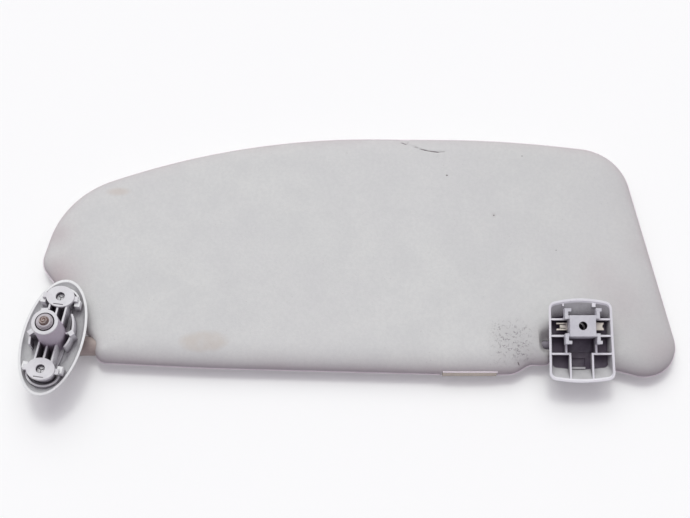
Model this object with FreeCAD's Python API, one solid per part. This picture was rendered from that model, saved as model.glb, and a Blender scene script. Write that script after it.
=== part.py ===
import FreeCAD, Part
import math
import os
from FreeCAD import Vector

# Car sun visor for the right-hand seat, in the stowed position.
# Millimetres. The origin is on the swing axis, in the plane where the bracket bears on the roof.
# +Z points up to the roof, +X along the rod to the clip, +Y from the rod edge to the free edge.

# Heights
ROD_DROP = 25.5  # roof plane down to the rod's centre line
RIM_DROP = 8.0  # roof plane down to the rims of the bezel and of the clip cover
BOSS_HEIGHT = 17.5  # the pivot boss stands this far into the roof

# Panel
UPPER_HEIGHT = 8.5  # seam to the upper face, at the rod
LOWER_HEIGHT = 8.5  # seam to the lower face
UPPER_TAPER = 1.7  # degrees by which the upper face falls to the free edge
EDGE_ROLL = 12.0  # width of the rounded edge in plan
ROLL_STEPS = 4
SKIN = 1.2
CORE_INSET = 8.5  # outline to the straight wall of the space inside the covers
SEAM_GAP = 0.1
LAYER_GAP = 0.15
SHELL_WALL = 1.6
SHELL_RIB = 1.2
RIBS_Y = [24.0, 56.0, 88.0, 120.0]
RIBS_X = [60.0, 120.0, 180.0, 240.0, 300.0, 360.0]

# Panel outline, clockwise from the corner below the elbow: x, y and corner radius
CLIP_X = 348.5  # middle of the clip, the pin and the notch
NOTCH_WIDTH = 35.0
NOTCH_FAR = 8.0  # from the pin's axis to the far wall of the notch
NOTCH_LEFT = CLIP_X - NOTCH_WIDTH / 2
NOTCH_RIGHT = CLIP_X + NOTCH_WIDTH / 2
OUTLINE = [
    (25.6, -12.0, 8.5),
    (25.0, -1.0, 10.0),
    (-1.0, 38.5, 25.0),
    (-17.4, 59.5, 14.5),
    (-5.4, 113.4, 64.0),
    (121.0, 161.0, 500.0),
    (304.5, 159.1, 700.0),
    (390.0, 148.6, 37.0),
    (419.9, -30.6, 22.5),
    (NOTCH_RIGHT, -15.6, 7.5),
    (NOTCH_RIGHT, NOTCH_FAR, 5.0),
    (NOTCH_LEFT, NOTCH_FAR, 5.0),
    (NOTCH_LEFT, -13.9, 6.0),
    (315.5, -13.7, 9.0),
    (305.0, -20.3, 16.0),
    (261.5, -20.3, 400.0),
    (99.5, -15.7, 600.0),
]

# Rod and pivot
ROD_R = 3.2
ROD_END_RISE = 2.4  # the rod's end above the boss's top
ROD_BEND_R = 8.6
ROD_REACH = 118.0  # swing axis to the end of the rod's long leg
ROD_CHAMFER = 0.5
FIT = 0.05  # radial running clearance
BODY_GAP = 0.3  # between pieces that turn past each other
BUSH_WALL = 1.9
BUSH_STANDOFF = 1.2  # ring-shaped gap between bush and boss
BOSS_WALL = 2.25
BOSS_DRAFT = 1.6  # degrees
BOSS_BORE_DEPTH = 15.5
WASHER_HEIGHT = 0.8
WASHER_THICKNESS = 0.5
RETAINER_SINK = 0.5  # base of the push nut below the top of the boss
RETAINER_STEPS = [(5.5, 1.1), (4.9, 0.7), (4.3, 0.6)]  # radius and height of each step
ELBOW_R = 6.5
ELBOW_REACH = 34.0
ELBOW_NECK_R = 5.8
ELBOW_GAP = 0.3
ROD_COVER_GAP = 0.02  # between the rod and what is fixed on it

# Bezel: an elliptical dish
BEZEL_HALF_LENGTH = 41.4
BEZEL_HALF_WIDTH = 21.0
BEZEL_DEPTH = 6.6
BEZEL_WALL = 1.7
MOUNT_YAW = -9.0  # degrees by which the dish and the bracket are turned
# Each level: share of the depth below the rim, and the inward step in length and width
BEZEL_LEVELS = [(0.0, 0.0, 0.0), (0.38, 2.6, 0.9), (0.74, 8.6, 3.2), (1.0, 17.0, 7.0)]

# Bracket
SCREW_PITCH_R = 25.75
SCREW_HOLE_R = 3.0
DISC_HALF_WIDTH = 9.4
DISC_HALF_LENGTH = 7.5
DISC_THICKNESS = 2.2
POST_INSET = 1.4
POST_WALL = 1.6
PLATE_THICKNESS = 1.6
PLATE_HALF_WIDTH = 9.2
MOUNT_RIB = 1.3
RIB_PITCH = 5.6
NODE_U = 13.2  # middle of the side nodes from the pivot
NODE_V = 1.7  # the right node lies this far ahead of the pivot, the left one behind it
NODE_SIZE = 3.4
CAP_STEM_R = 4.0
CAP_HEAD_R = 5.4
CAP_SKIN = 0.8  # thickness of a cap's head, flush with the bezel
CAP_DROP = 2.6  # roof plane to the top of a cap's stem
CAP_END_R = 2.8
CAP_KEY_LENGTH = 2.0  # each arm of the three-way key slot
CAP_KEY_WIDTH = 0.6
CAP_KEY_DEPTH = 0.8
RING_TAB_WIDTH = 4.6
RING_TAB_REACH = 1.4
RING_TAB_THICKNESS = 2.4
RING_TAB_DROP = 0.6
RING_TAB_TURN = 6.0  # degrees from the far end of the bracket
GUARD_GAP = 2.2  # post to the curved wall on the bezel's floor
GUARD_HEIGHT = 5.0
LATCH_U = 9.8
LATCH_V = 23.6
LATCH_WIDTH = 3.6
LATCH_LENGTH = 4.6
LATCH_DROP = 3.0  # roof plane to the top of a latch
SIDE_WALLS = [(-1, -9.5, -1.0), (1, -8.0, 15.5)]  # side, and the two ends of its wall
SIDE_WALL_R = 25.6
SIDE_WALL_MID = (-12.4, 2.9)  # centre of the right wall's arc
SIDE_WALL_DROP = 2.6
NODE_DROP = 0.8
TAB_REACH = 2.4
TAB_WIDTH = 3.6
TAB_DROP = 0.9
TAB_THICKNESS = 1.6
RIB_DROP = 0.9
SLOT_FROM_HOLE = 5.4
SLOT_LENGTH = 6.4
SLOT_WIDTH = 0.6
SLOT_DEPTH = 0.6

# Clip
PIN_R = 3.5
PIN_SEAT = 9.0  # length of the pin held at each side of the notch
PIN_END_GAP = 0.3
PIN_CHAMFER = 0.6
CLIP_TILT = 15.0  # degrees by which the clip is turned from its stowed position
CLIP_WALL = 1.5
CLIP_DEPTH = 8.3
CLIP_RIM = [(-20.9, 27.0, 5.0), (0.0, 31.2, 70.0), (20.9, 27.0, 5.0),
            (21.9, -24.1, 5.0), (0.0, -26.9, 90.0), (-21.5, -24.1, 5.0)]
CLIP_FLOOR = [(-19.2, 18.1, 4.0), (0.0, 21.1, 70.0), (19.2, 18.1, 4.0),
              (19.6, -16.1, 4.0), (0.0, -18.1, 90.0), (-19.6, -16.1, 4.0)]
CLIP_RIB = 1.3
CLIP_RIB_DROP = 0.6  # ribs below the rim
CLIP_RIBS_Y = [15.9, 4.9, -7.0]
LAND_Y = 10.5
LAND_WIDTH = 17.0
LAND_LENGTH = 14.0
LAND_HOLE_R = 2.8
LAND_ACCESS_R = 4.5
INNER_RIB_X = 9.9
OUTER_RIB_X = 7.4
JAW_WALL = 2.6
JAW_HALF_WIDTH = 13.0
JAW_MOUTH = 5.6
STEM_HALF_WIDTH = 8.0
STEM_REACH = 5.2
WINDOW = (-7.0, 3.2, -16.6, -9.4)  # sunk panel in the floor: x and y bounds
WINDOW_DEPTH = 0.8
LEDGE_WIDTH = 1.4
LEDGE_HEIGHT = 1.2
SPIKE = (-11.2, 1.1, 5.0)  # far-wall ribs: x, thickness and reach
TOOTH = (9.1, 2.5, 5.6)
LAND_HEAD_SEAT = 8.0  # depth of the screw hole before it widens
LAND_ARM_THICKNESS = 6.0
LAND_ARM_DROP = 1.2
HOOK_X = 9.3
HOOK_WALL = 2.2
HOOK_LENGTH = 4.8
HOOK_NOSE = {-1: (2.1, 0.0), 1: (0.2, 1.2)}  # side: how far its foot reaches inward and outward
SPRING_HALF_WIDTH = 15.6
SPRING_ARM_Y = (8.9, 13.9)
SPRING_THICKNESS = 1.6
SPRING_LIFT = 2.6  # tray floor to the spring
SPRING_BODY_HALF_WIDTH = 7.0
SPRING_BODY_HALF_LENGTH = 6.2
FINGER = 1.0
FINGER_SLIT = 0.5
FINGER_TIP = 2.3  # length by which the fingers pass the fork's middle
FLAG_BITE_R = 1.7

# Rod housing in the panel
HOUSING_X0 = 48.0
HOUSING_LENGTH = 60.0
HOUSING_Y0 = -4.6
HOUSING_Y1 = 18.0
HOUSING_HALF_HEIGHT = 4.9
SPRING_MARGIN = 20.0  # end of the housing to the friction clip
HOUSING_EAR = 2.9  # height of the screw ears above the rod's centre line
RELIEF_Y = 7.5
CLIP_SPRING_T = 0.8
CLIP_SPRING_GAP = 0.08
CLIP_SPRING_END_GAP = 1.5
DETENT_DEPTH = 0.7
HOUSING_SCREW_R = 1.6
HOUSING_HEAD_R = 2.8
HOUSING_HEAD_HEIGHT = 1.7
HOUSING_SCREW_Y = 12.5
HOUSING_SCREW_INSET = 9.0

# Seam insert in the rod edge
INSERT_X0 = 257.5
INSERT_Y0 = -20.7
INSERT_LENGTH = 36.0
INSERT_DEPTH = 6.0
INSERT_BELOW = 1.5
INSERT_ABOVE = 2.5
INSERT_PROUD = 0.3

# Derived places
ROD_Z = -ROD_DROP
RIM_Z = -RIM_DROP
BEZEL_BOTTOM = RIM_Z - BEZEL_DEPTH
BEZEL_FLOOR = BEZEL_BOTTOM + BEZEL_WALL
BUSH_BORE_R = ROD_R + FIT
BUSH_R = BUSH_BORE_R + BUSH_WALL
BOSS_BORE_R = BUSH_R + BUSH_STANDOFF
BOSS_TOP_R = BOSS_BORE_R + BOSS_WALL
ROD_TOP = BOSS_HEIGHT + ROD_END_RISE
RETAINER_BASE = BOSS_HEIGHT - RETAINER_SINK
WASHER_Z = RETAINER_BASE - WASHER_HEIGHT
BUSH_TOP = WASHER_Z - BODY_GAP
PIN_RISE = ROD_DROP - RIM_DROP  # the clip's rim above the pin's axis
LAND_RISE = ROD_DROP  # the clip's land above the pin's axis
JAW_R = PIN_R + FIT + JAW_WALL
BEND_Z = ROD_Z + ROD_BEND_R
ELBOW_TOP = BEZEL_FLOOR - BODY_GAP
GUARD_TOP = BEZEL_FLOOR + GUARD_HEIGHT
SHELL_INSET = CORE_INSET + LAYER_GAP
PIN_X0 = NOTCH_LEFT - SHELL_INSET - PIN_SEAT
PIN_X1 = NOTCH_RIGHT + SHELL_INSET + PIN_SEAT
SPRING_X0 = HOUSING_X0 + SPRING_MARGIN
SPRING_X1 = HOUSING_X0 + HOUSING_LENGTH - SPRING_MARGIN
SPRING_R = ROD_R + CLIP_SPRING_GAP + CLIP_SPRING_T
HOUSING_SCREWS_X = [HOUSING_X0 + HOUSING_SCREW_INSET, HOUSING_X0 + HOUSING_LENGTH - HOUSING_SCREW_INSET]
SCREW_END_Z = ROD_Z - LOWER_HEIGHT + SKIN + SHELL_WALL / 2
CLIP_UNDER = PIN_RISE - CLIP_DEPTH
CLIP_FLOOR_Z = CLIP_UNDER + CLIP_WALL
SPRING_Z = CLIP_FLOOR_Z + SPRING_LIFT

os.makedirs("parts", exist_ok=True)


# Outlines made of lines and tangent arcs
def offset_corners(corners, inset):
    """The corners of a clockwise outline after each side has moved inward."""
    count = len(corners)
    sides = []
    for i in range(count):
        start = Vector(corners[i][0], corners[i][1], 0)
        end = Vector(corners[(i + 1) % count][0], corners[(i + 1) % count][1], 0)
        along = (end - start).normalize()
        inward = Vector(along.y, -along.x, 0)
        sides.append((start + inward * inset, along))
    moved = []
    for i in range(count):
        before, along_before = sides[i - 1]
        after, along_after = sides[i]
        turn = along_before.x * along_after.y - along_before.y * along_after.x
        step = ((after - before).x * along_after.y - (after - before).y * along_after.x) / turn
        point = before + along_before * step
        convex = turn < 0
        radius = corners[i][2] - inset if convex else corners[i][2] + inset
        moved.append((point, max(radius, 0.6)))
    return moved


def outline_wire(corners, z=0.0, inset=0.0):
    """A closed wire of lines joined by an arc at each corner."""
    moved = offset_corners(corners, inset)
    count = len(moved)
    arcs = []
    for i in range(count):
        corner, radius = moved[i]
        back = (moved[i - 1][0] - corner).normalize()
        ahead = (moved[(i + 1) % count][0] - corner).normalize()
        half = math.acos(max(-1.0, min(1.0, back.dot(ahead)))) / 2
        reach = radius / math.tan(half)
        middle = (back + ahead).normalize()
        lift = radius / math.sin(half) - radius
        arcs.append([corner + back * reach, corner + middle * lift, corner + ahead * reach])
    edges = []
    for i in range(count):
        start, middle, end = [Vector(p.x, p.y, z) for p in arcs[i]]
        following = arcs[(i + 1) % count][0]
        edges.append(Part.Arc(start, middle, end).toShape())
        edges.append(Part.LineSegment(end, Vector(following.x, following.y, z)).toShape())
    return Part.Wire(edges)


# Simple solids
def cylinder(radius, z0, z1, x=0.0, y=0.0):
    return Part.makeCylinder(radius, z1 - z0, Vector(x, y, z0))


def box(x0, x1, y0, y1, z0, z1):
    return Part.makeBox(x1 - x0, y1 - y0, z1 - z0, Vector(x0, y0, z0))


def block(x0, x1, y0, y1, z0, z1):
    """A box whose bounds may come in either order."""
    xs, ys, zs = sorted((x0, x1)), sorted((y0, y1)), sorted((z0, z1))
    return box(xs[0], xs[1], ys[0], ys[1], zs[0], zs[1])


def rod_along_x(radius, x0, x1, z=ROD_Z):
    return Part.makeCylinder(radius, x1 - x0, Vector(x0, 0, z), Vector(1, 0, 0))


def ellipse_wire(half_width, half_length, z):
    """An ellipse about the Z axis, half_width along X and half_length along Y."""
    across, along = Vector(half_width, 0, z), Vector(0, half_length, z)
    major, minor = (along, across) if half_length > half_width else (across, along)
    return Part.Wire([Part.Ellipse(major, minor, Vector(0, 0, z)).toShape()])


def ellipse_prism(half_width, half_length, z0, z1, y=0.0):
    face = Part.Face(ellipse_wire(half_width, half_length, z0))
    solid = face.extrude(Vector(0, 0, z1 - z0))
    solid.translate(Vector(0, y, 0))
    return solid


def fuse_all(shapes):
    return shapes[0].multiFuse(shapes[1:]).removeSplitter()


def turned_mount(shape):
    """Turn a piece of the mount about the swing axis to its place."""
    shape.rotate(Vector(0, 0, 0), Vector(0, 0, 1), MOUNT_YAW)
    return shape


def tilted_clip(shape):
    """Carry a piece of the clip from its own frame, whose origin is on the pin's axis."""
    shape.rotate(Vector(0, 0, 0), Vector(1, 0, 0), CLIP_TILT)
    shape.translate(Vector(CLIP_X, 0, ROD_Z))
    return shape


# Panel layers
def padded_half(upper):
    """The rounded outer form of one half of the panel, from the seam to its face."""
    height = UPPER_HEIGHT if upper else LOWER_HEIGHT
    wires = []
    for step in range(ROLL_STEPS + 1):
        angle = math.radians(90.0 * step / ROLL_STEPS)
        rise = height * math.sin(angle)
        wire = outline_wire(OUTLINE, rise if upper else -rise, EDGE_ROLL * (1 - math.cos(angle)))
        if upper and step:
            wire.rotate(Vector(0, 0, rise), Vector(1, 0, 0), -UPPER_TAPER * rise / height)
        wire.translate(Vector(0, 0, ROD_Z))
        wires.append(wire)
    return Part.makeLoft(wires, True, True)


def core_half(inset, gap, upper):
    """The straight-walled space in one half: from the seam to gap below the face."""
    height = (UPPER_HEIGHT if upper else LOWER_HEIGHT) - gap
    prism = Part.Face(outline_wire(OUTLINE, 0, inset)).extrude(Vector(0, 0, height))
    if upper:
        b = prism.BoundBox
        over = box(b.XMin - 1, b.XMax + 1, b.YMin - 100, b.YMax + 100, height, 3 * height)
        over.rotate(Vector(0, 0, height), Vector(1, 0, 0), -UPPER_TAPER)
        prism = prism.cut(over)
    else:
        prism.translate(Vector(0, 0, -height))
    prism.translate(Vector(0, 0, ROD_Z))
    return prism


def panel_openings(clearance):
    """What every layer of the panel leaves free: the elbow, the rod, the pin and the seam insert."""
    return [
        rod_along_x(ELBOW_R + ELBOW_GAP, -ELBOW_R, ELBOW_REACH + ELBOW_GAP),
        rod_along_x(ROD_R + ELBOW_GAP, 0, HOUSING_X0),
        rod_along_x(PIN_R + clearance, PIN_X0 - PIN_END_GAP, PIN_X1 + PIN_END_GAP),
        box(INSERT_X0 - clearance, INSERT_X0 + INSERT_LENGTH + clearance,
            INSERT_Y0 - 5, INSERT_Y0 + INSERT_DEPTH + clearance,
            ROD_Z - INSERT_BELOW - clearance, ROD_Z + INSERT_ABOVE + clearance),
    ]


def make_cover(upper):
    skin = padded_half(upper).cut(core_half(CORE_INSET, SKIN, upper))
    return skin.cut(panel_openings(LAYER_GAP))


def rib_grid(upper):
    """Stiffening walls across a shell, from its floor almost to the seam."""
    height = UPPER_HEIGHT if upper else LOWER_HEIGHT
    z0, z1 = (ROD_Z + SEAM_GAP, ROD_Z + height) if upper else (ROD_Z - height, ROD_Z - SEAM_GAP)
    half = SHELL_RIB / 2
    walls = []
    for y in RIBS_Y:
        walls.append(box(-50, 450, y - half, y + half, z0, z1))
    for x in RIBS_X:
        walls.append(box(x - half, x + half, RIBS_Y[0], 200, z0, z1))
    inside = core_half(CORE_INSET + LAYER_GAP + SHELL_WALL / 2, SKIN + LAYER_GAP + SHELL_WALL / 2, upper)
    return fuse_all(walls).common(inside)


def make_shell(upper):
    outer = core_half(CORE_INSET + LAYER_GAP, SKIN + LAYER_GAP, upper)
    inner = core_half(CORE_INSET + LAYER_GAP + SHELL_WALL, SKIN + LAYER_GAP + SHELL_WALL, upper)
    inside = core_half(CORE_INSET + LAYER_GAP + SHELL_WALL / 2, SKIN + LAYER_GAP + SHELL_WALL / 2, upper)
    z0, z1 = (ROD_Z, ROD_Z + UPPER_HEIGHT) if upper else (ROD_Z - LOWER_HEIGHT, ROD_Z)
    added = [rib_grid(upper)]
    for x0, x1 in ((PIN_X0 - PIN_END_GAP - SHELL_WALL, PIN_X0 + PIN_SEAT + SHELL_WALL / 2),
                   (PIN_X1 - PIN_SEAT - SHELL_WALL / 2, PIN_X1 + PIN_END_GAP + SHELL_WALL)):
        half = PIN_R + SHELL_WALL
        added.append(box(x0, x1, -half, half, z0, z1).common(inside))
    if not upper:
        for x in HOUSING_SCREWS_X:
            boss_top = ROD_Z - HOUSING_HALF_HEIGHT
            added.append(cylinder(HOUSING_SCREW_R + SHELL_WALL, z0 + SKIN + SHELL_WALL, boss_top,
                                  x, HOUSING_SCREW_Y))
    shell = fuse_all([outer.cut(inner)] + added)
    cuts = panel_openings(FIT if upper else 0.0)
    cuts.append(box(HOUSING_X0 - LAYER_GAP, HOUSING_X0 + HOUSING_LENGTH + LAYER_GAP,
                    HOUSING_Y0 - LAYER_GAP, HOUSING_Y1 + LAYER_GAP,
                    ROD_Z - HOUSING_HALF_HEIGHT, ROD_Z + HOUSING_HALF_HEIGHT + LAYER_GAP))
    cuts.append(rod_along_x(ROD_R + ELBOW_GAP, HOUSING_X0, ROD_REACH + 2))
    if not upper:
        for x in HOUSING_SCREWS_X:
            cuts.append(cylinder(HOUSING_SCREW_R, SCREW_END_Z, ROD_Z, x, HOUSING_SCREW_Y))
    return shell.cut(cuts)


def make_end_pin():
    pin = rod_along_x(PIN_R, PIN_X0, PIN_X1)
    return pin.makeChamfer(PIN_CHAMFER, [e for e in pin.Edges if len(e.Vertexes) == 1 and e.Closed])


def make_seam_insert():
    strip = box(INSERT_X0, INSERT_X0 + INSERT_LENGTH, INSERT_Y0 - INSERT_PROUD, INSERT_Y0 + INSERT_DEPTH,
                ROD_Z - INSERT_BELOW, ROD_Z + INSERT_ABOVE)
    front = [e for e in strip.Edges if abs(e.CenterOfMass.y - INSERT_Y0 + INSERT_PROUD) < 0.01]
    return strip.makeFillet(INSERT_PROUD, front)


# Rod, elbow and what holds the rod in the boss
def rod_path_solid(radius, top, reach):
    """A round bar that comes down the swing axis, bends and runs along +X."""
    drop = Part.makeCylinder(radius, top - BEND_Z, Vector(0, 0, BEND_Z))
    ring = Part.Wire(Part.makeCircle(radius, Vector(0, 0, BEND_Z), Vector(0, 0, 1)))
    bend = Part.Face(ring).revolve(Vector(ROD_BEND_R, 0, BEND_Z), Vector(0, 1, 0), -90)
    leg = rod_along_x(radius, ROD_BEND_R, reach)
    return [drop, bend, leg]


def make_rod():
    rod = fuse_all(rod_path_solid(ROD_R, ROD_TOP, ROD_REACH))
    ends = [e for e in rod.Edges
            if abs(e.CenterOfMass.z - ROD_TOP) < 0.01 or abs(e.CenterOfMass.x - ROD_REACH) < 0.01]
    rod = rod.makeChamfer(ROD_CHAMFER, ends)
    detent = box(SPRING_X0, SPRING_X1, -ROD_R, ROD_R, ROD_Z + ROD_R - DETENT_DEPTH, ROD_Z + 2 * ROD_R)
    return rod.cut(detent)


def make_elbow_cover():
    neck = cylinder(ELBOW_NECK_R, BEND_Z - 1, ELBOW_TOP)
    ring = Part.Wire(Part.makeCircle(ELBOW_R, Vector(0, 0, BEND_Z), Vector(0, 0, 1)))
    bend = Part.Face(ring).revolve(Vector(ROD_BEND_R, 0, BEND_Z), Vector(0, 1, 0), -90)
    leg = rod_along_x(ELBOW_R, ROD_BEND_R, ELBOW_REACH)
    body = fuse_all([bend, neck, leg])
    return body.cut(rod_path_solid(ROD_R + ROD_COVER_GAP, ELBOW_TOP + 1, ELBOW_REACH + 1))


def make_spring_washer():
    """A coned spring washer between the bush and the push nut."""
    bore = ROD_R + ROD_COVER_GAP
    rim = BUSH_R - BODY_GAP
    rise = WASHER_HEIGHT - WASHER_THICKNESS
    points = [Vector(bore, 0, WASHER_Z + rise), Vector(rim, 0, WASHER_Z),
              Vector(rim, 0, WASHER_Z + WASHER_THICKNESS), Vector(bore, 0, WASHER_Z + WASHER_HEIGHT)]
    face = Part.Face(Part.makePolygon(points + [points[0]]))
    return face.revolve(Vector(0, 0, 0), Vector(0, 0, 1), 360)


def make_retainer():
    """The push nut: a stepped cone that grips the rod."""
    base = RETAINER_BASE
    steps = []
    for radius, height in RETAINER_STEPS:
        steps.append(cylinder(radius, base, base + height))
        base += height
    return fuse_all(steps).cut(cylinder(ROD_R + ROD_COVER_GAP, RETAINER_BASE - 1, base + 1))


def make_bush():
    return cylinder(BUSH_R, BEZEL_FLOOR, BUSH_TOP).cut(cylinder(BUSH_BORE_R, BEZEL_FLOOR - 1, BUSH_TOP + 1))


# Rod housing inside the panel
def housing_half(upper):
    z0, z1 = (ROD_Z, ROD_Z + HOUSING_HALF_HEIGHT) if upper else (ROD_Z - HOUSING_HALF_HEIGHT, ROD_Z)
    half = box(HOUSING_X0, HOUSING_X0 + HOUSING_LENGTH, HOUSING_Y0, HOUSING_Y1, z0, z1)
    window = box(SPRING_X0 - LAYER_GAP, SPRING_X1 + LAYER_GAP, HOUSING_Y0 - 1, SPRING_R + LAYER_GAP,
                 z0 - 1, z1 + 1)
    relief = box(HOUSING_X0 - 1, HOUSING_X0 + HOUSING_LENGTH + 1, RELIEF_Y, HOUSING_Y1 + 1,
                 ROD_Z + HOUSING_EAR, ROD_Z + HOUSING_HALF_HEIGHT + 1)
    cuts = [window, rod_along_x(BUSH_BORE_R, HOUSING_X0 - 1, ROD_REACH + 5)]
    for x in HOUSING_SCREWS_X:
        cuts.append(cylinder(HOUSING_SCREW_R, z0 - 1, z1 + 1, x, HOUSING_SCREW_Y))
    if upper:
        cuts.append(relief)
    return half.cut(cuts)


def make_housing_screws():
    """Pan-head screws that clamp both halves of the housing to the lower shell."""
    seat = ROD_Z + HOUSING_EAR
    screws = []
    for x in HOUSING_SCREWS_X:
        shank = cylinder(HOUSING_SCREW_R, SCREW_END_Z, seat, x, HOUSING_SCREW_Y)
        head = cylinder(HOUSING_HEAD_R, seat, seat + HOUSING_HEAD_HEIGHT, x, HOUSING_SCREW_Y)
        rim = [e for e in head.Edges if abs(e.CenterOfMass.z - seat - HOUSING_HEAD_HEIGHT) < 0.01 and e.Closed]
        head = head.makeChamfer(HOUSING_HEAD_HEIGHT * 0.4, rim)
        screws.append(shank.fuse(head).removeSplitter())
    return Part.makeCompound(screws)


def make_friction_clip():
    """A split spring sleeve that grips the rod; its flat snaps under the split's shoulder."""
    sleeve = rod_along_x(SPRING_R, SPRING_X0, SPRING_X1).cut(
        rod_along_x(ROD_R + CLIP_SPRING_GAP, SPRING_X0 - 1, SPRING_X1 + 1))
    split = box(SPRING_X0 - 1, SPRING_X1 + 1, 0, SPRING_R + 1,
                ROD_Z - CLIP_SPRING_END_GAP / 2, ROD_Z + CLIP_SPRING_END_GAP / 2)
    return sleeve.cut(split)


# Roof mount
def dish(wall):
    """The bezel's outer form, or with a wall its hollow."""
    wires = []
    for share, step_length, step_width in BEZEL_LEVELS:
        z = RIM_Z - share * (BEZEL_DEPTH - wall)
        wires.append(ellipse_wire(BEZEL_HALF_WIDTH - wall - step_width,
                                  BEZEL_HALF_LENGTH - wall - step_length, z))
    return Part.makeLoft(wires, True, False)


def cap_layer(gap):
    """The outer layer of the dish where the two caps lie, as two discs that follow its surface."""
    layer = dish(0.0).cut(dish(CAP_SKIN + gap))
    return [layer.common(cylinder(CAP_HEAD_R + gap, BEZEL_BOTTOM - 1, BEZEL_FLOOR, 0, side * SCREW_PITCH_R))
            for side in (-1, 1)]


def make_bezel():
    bezel = dish(0.0).cut(dish(BEZEL_WALL))
    added = []
    wide, long_half = DISC_HALF_WIDTH + GUARD_GAP, DISC_HALF_LENGTH + GUARD_GAP
    for side in (-1, 1):
        y = side * SCREW_PITCH_R
        guard = ellipse_prism(wide, long_half, BEZEL_FLOOR - 0.5, GUARD_TOP, y)
        inside = ellipse_prism(wide - MOUNT_RIB, long_half - MOUNT_RIB, BEZEL_FLOOR - 1, GUARD_TOP + 1, y)
        keep = block(-BEZEL_HALF_WIDTH, BEZEL_HALF_WIDTH, y, side * BEZEL_HALF_LENGTH, BEZEL_BOTTOM, 0)
        added.append(guard.cut(inside).common(keep))
        v = side * LATCH_V
        for across in (-1, 1):
            added.append(block(across * LATCH_U, across * (LATCH_U + LATCH_WIDTH),
                               v - LATCH_LENGTH / 2, v + LATCH_LENGTH / 2, BEZEL_FLOOR - 0.5, -LATCH_DROP))
    solid = dish(BEZEL_WALL / 2)
    above = box(-BEZEL_HALF_WIDTH, BEZEL_HALF_WIDTH, -BEZEL_HALF_LENGTH, BEZEL_HALF_LENGTH, RIM_Z, 0)
    bezel = fuse_all([bezel] + [piece.common(solid.fuse(above)) for piece in added])
    holes = [cylinder(ELBOW_NECK_R + BODY_GAP, BEZEL_BOTTOM - 1, BEZEL_FLOOR + 1)] + cap_layer(LAYER_GAP)
    for y in (-SCREW_PITCH_R, SCREW_PITCH_R):
        holes.append(cylinder(CAP_STEM_R + LAYER_GAP, BEZEL_BOTTOM - 1, BEZEL_FLOOR + 2, 0, y))
    return turned_mount(bezel.cut(holes))


def side_wall(across, v0, v1):
    """The wall that runs along the bracket at one side, its square node and the link to the boss."""
    u = across * NODE_U
    v = across * NODE_V
    half = MOUNT_RIB / 2
    mid_u, mid_v = [across * value for value in SIDE_WALL_MID]
    top = -SIDE_WALL_DROP
    ring = cylinder(SIDE_WALL_R + half, BEZEL_FLOOR, top, mid_u, mid_v).cut(
        cylinder(SIDE_WALL_R - half, BEZEL_FLOOR - 1, top + 1, mid_u, mid_v))
    wall = ring.common(block(0, across * SIDE_WALL_R, v0, v1, BEZEL_FLOOR, top))
    node = box(-NODE_SIZE / 2, NODE_SIZE / 2, -NODE_SIZE / 2, NODE_SIZE / 2, BEZEL_FLOOR, -NODE_DROP)
    node.rotate(Vector(0, 0, 0), Vector(0, 0, 1), 45)
    node.translate(Vector(u, v, 0))
    link = block(across * BOSS_BORE_R, u, v - half, v + half, BEZEL_FLOOR, top)
    return [wall, node, link]


def screw_disc(side):
    """One bearing disc on its hollow post: what is added to the bracket and what is cut from it."""
    y = side * SCREW_PITCH_R
    wide, long_half = DISC_HALF_WIDTH - POST_INSET, DISC_HALF_LENGTH - POST_INSET
    tab_x = DISC_HALF_WIDTH + TAB_REACH
    slot_y = y - SLOT_FROM_HOLE
    added = [
        ellipse_prism(DISC_HALF_WIDTH, DISC_HALF_LENGTH, -DISC_THICKNESS, 0, y),
        ellipse_prism(wide, long_half, BEZEL_FLOOR, -DISC_THICKNESS, y),
        box(-tab_x, tab_x, y - TAB_WIDTH / 2, y + TAB_WIDTH / 2, -TAB_DROP - TAB_THICKNESS, -TAB_DROP),
    ]
    cuts = [
        ellipse_prism(wide - POST_WALL, long_half - POST_WALL, BEZEL_FLOOR - 1, -DISC_THICKNESS, y),
        cylinder(SCREW_HOLE_R, -DISC_THICKNESS - 1, 1, 0, y),
        box(-SLOT_LENGTH / 2, SLOT_LENGTH / 2, slot_y - SLOT_WIDTH, slot_y, -SLOT_DEPTH, 1),
    ]
    return added, cuts


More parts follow.
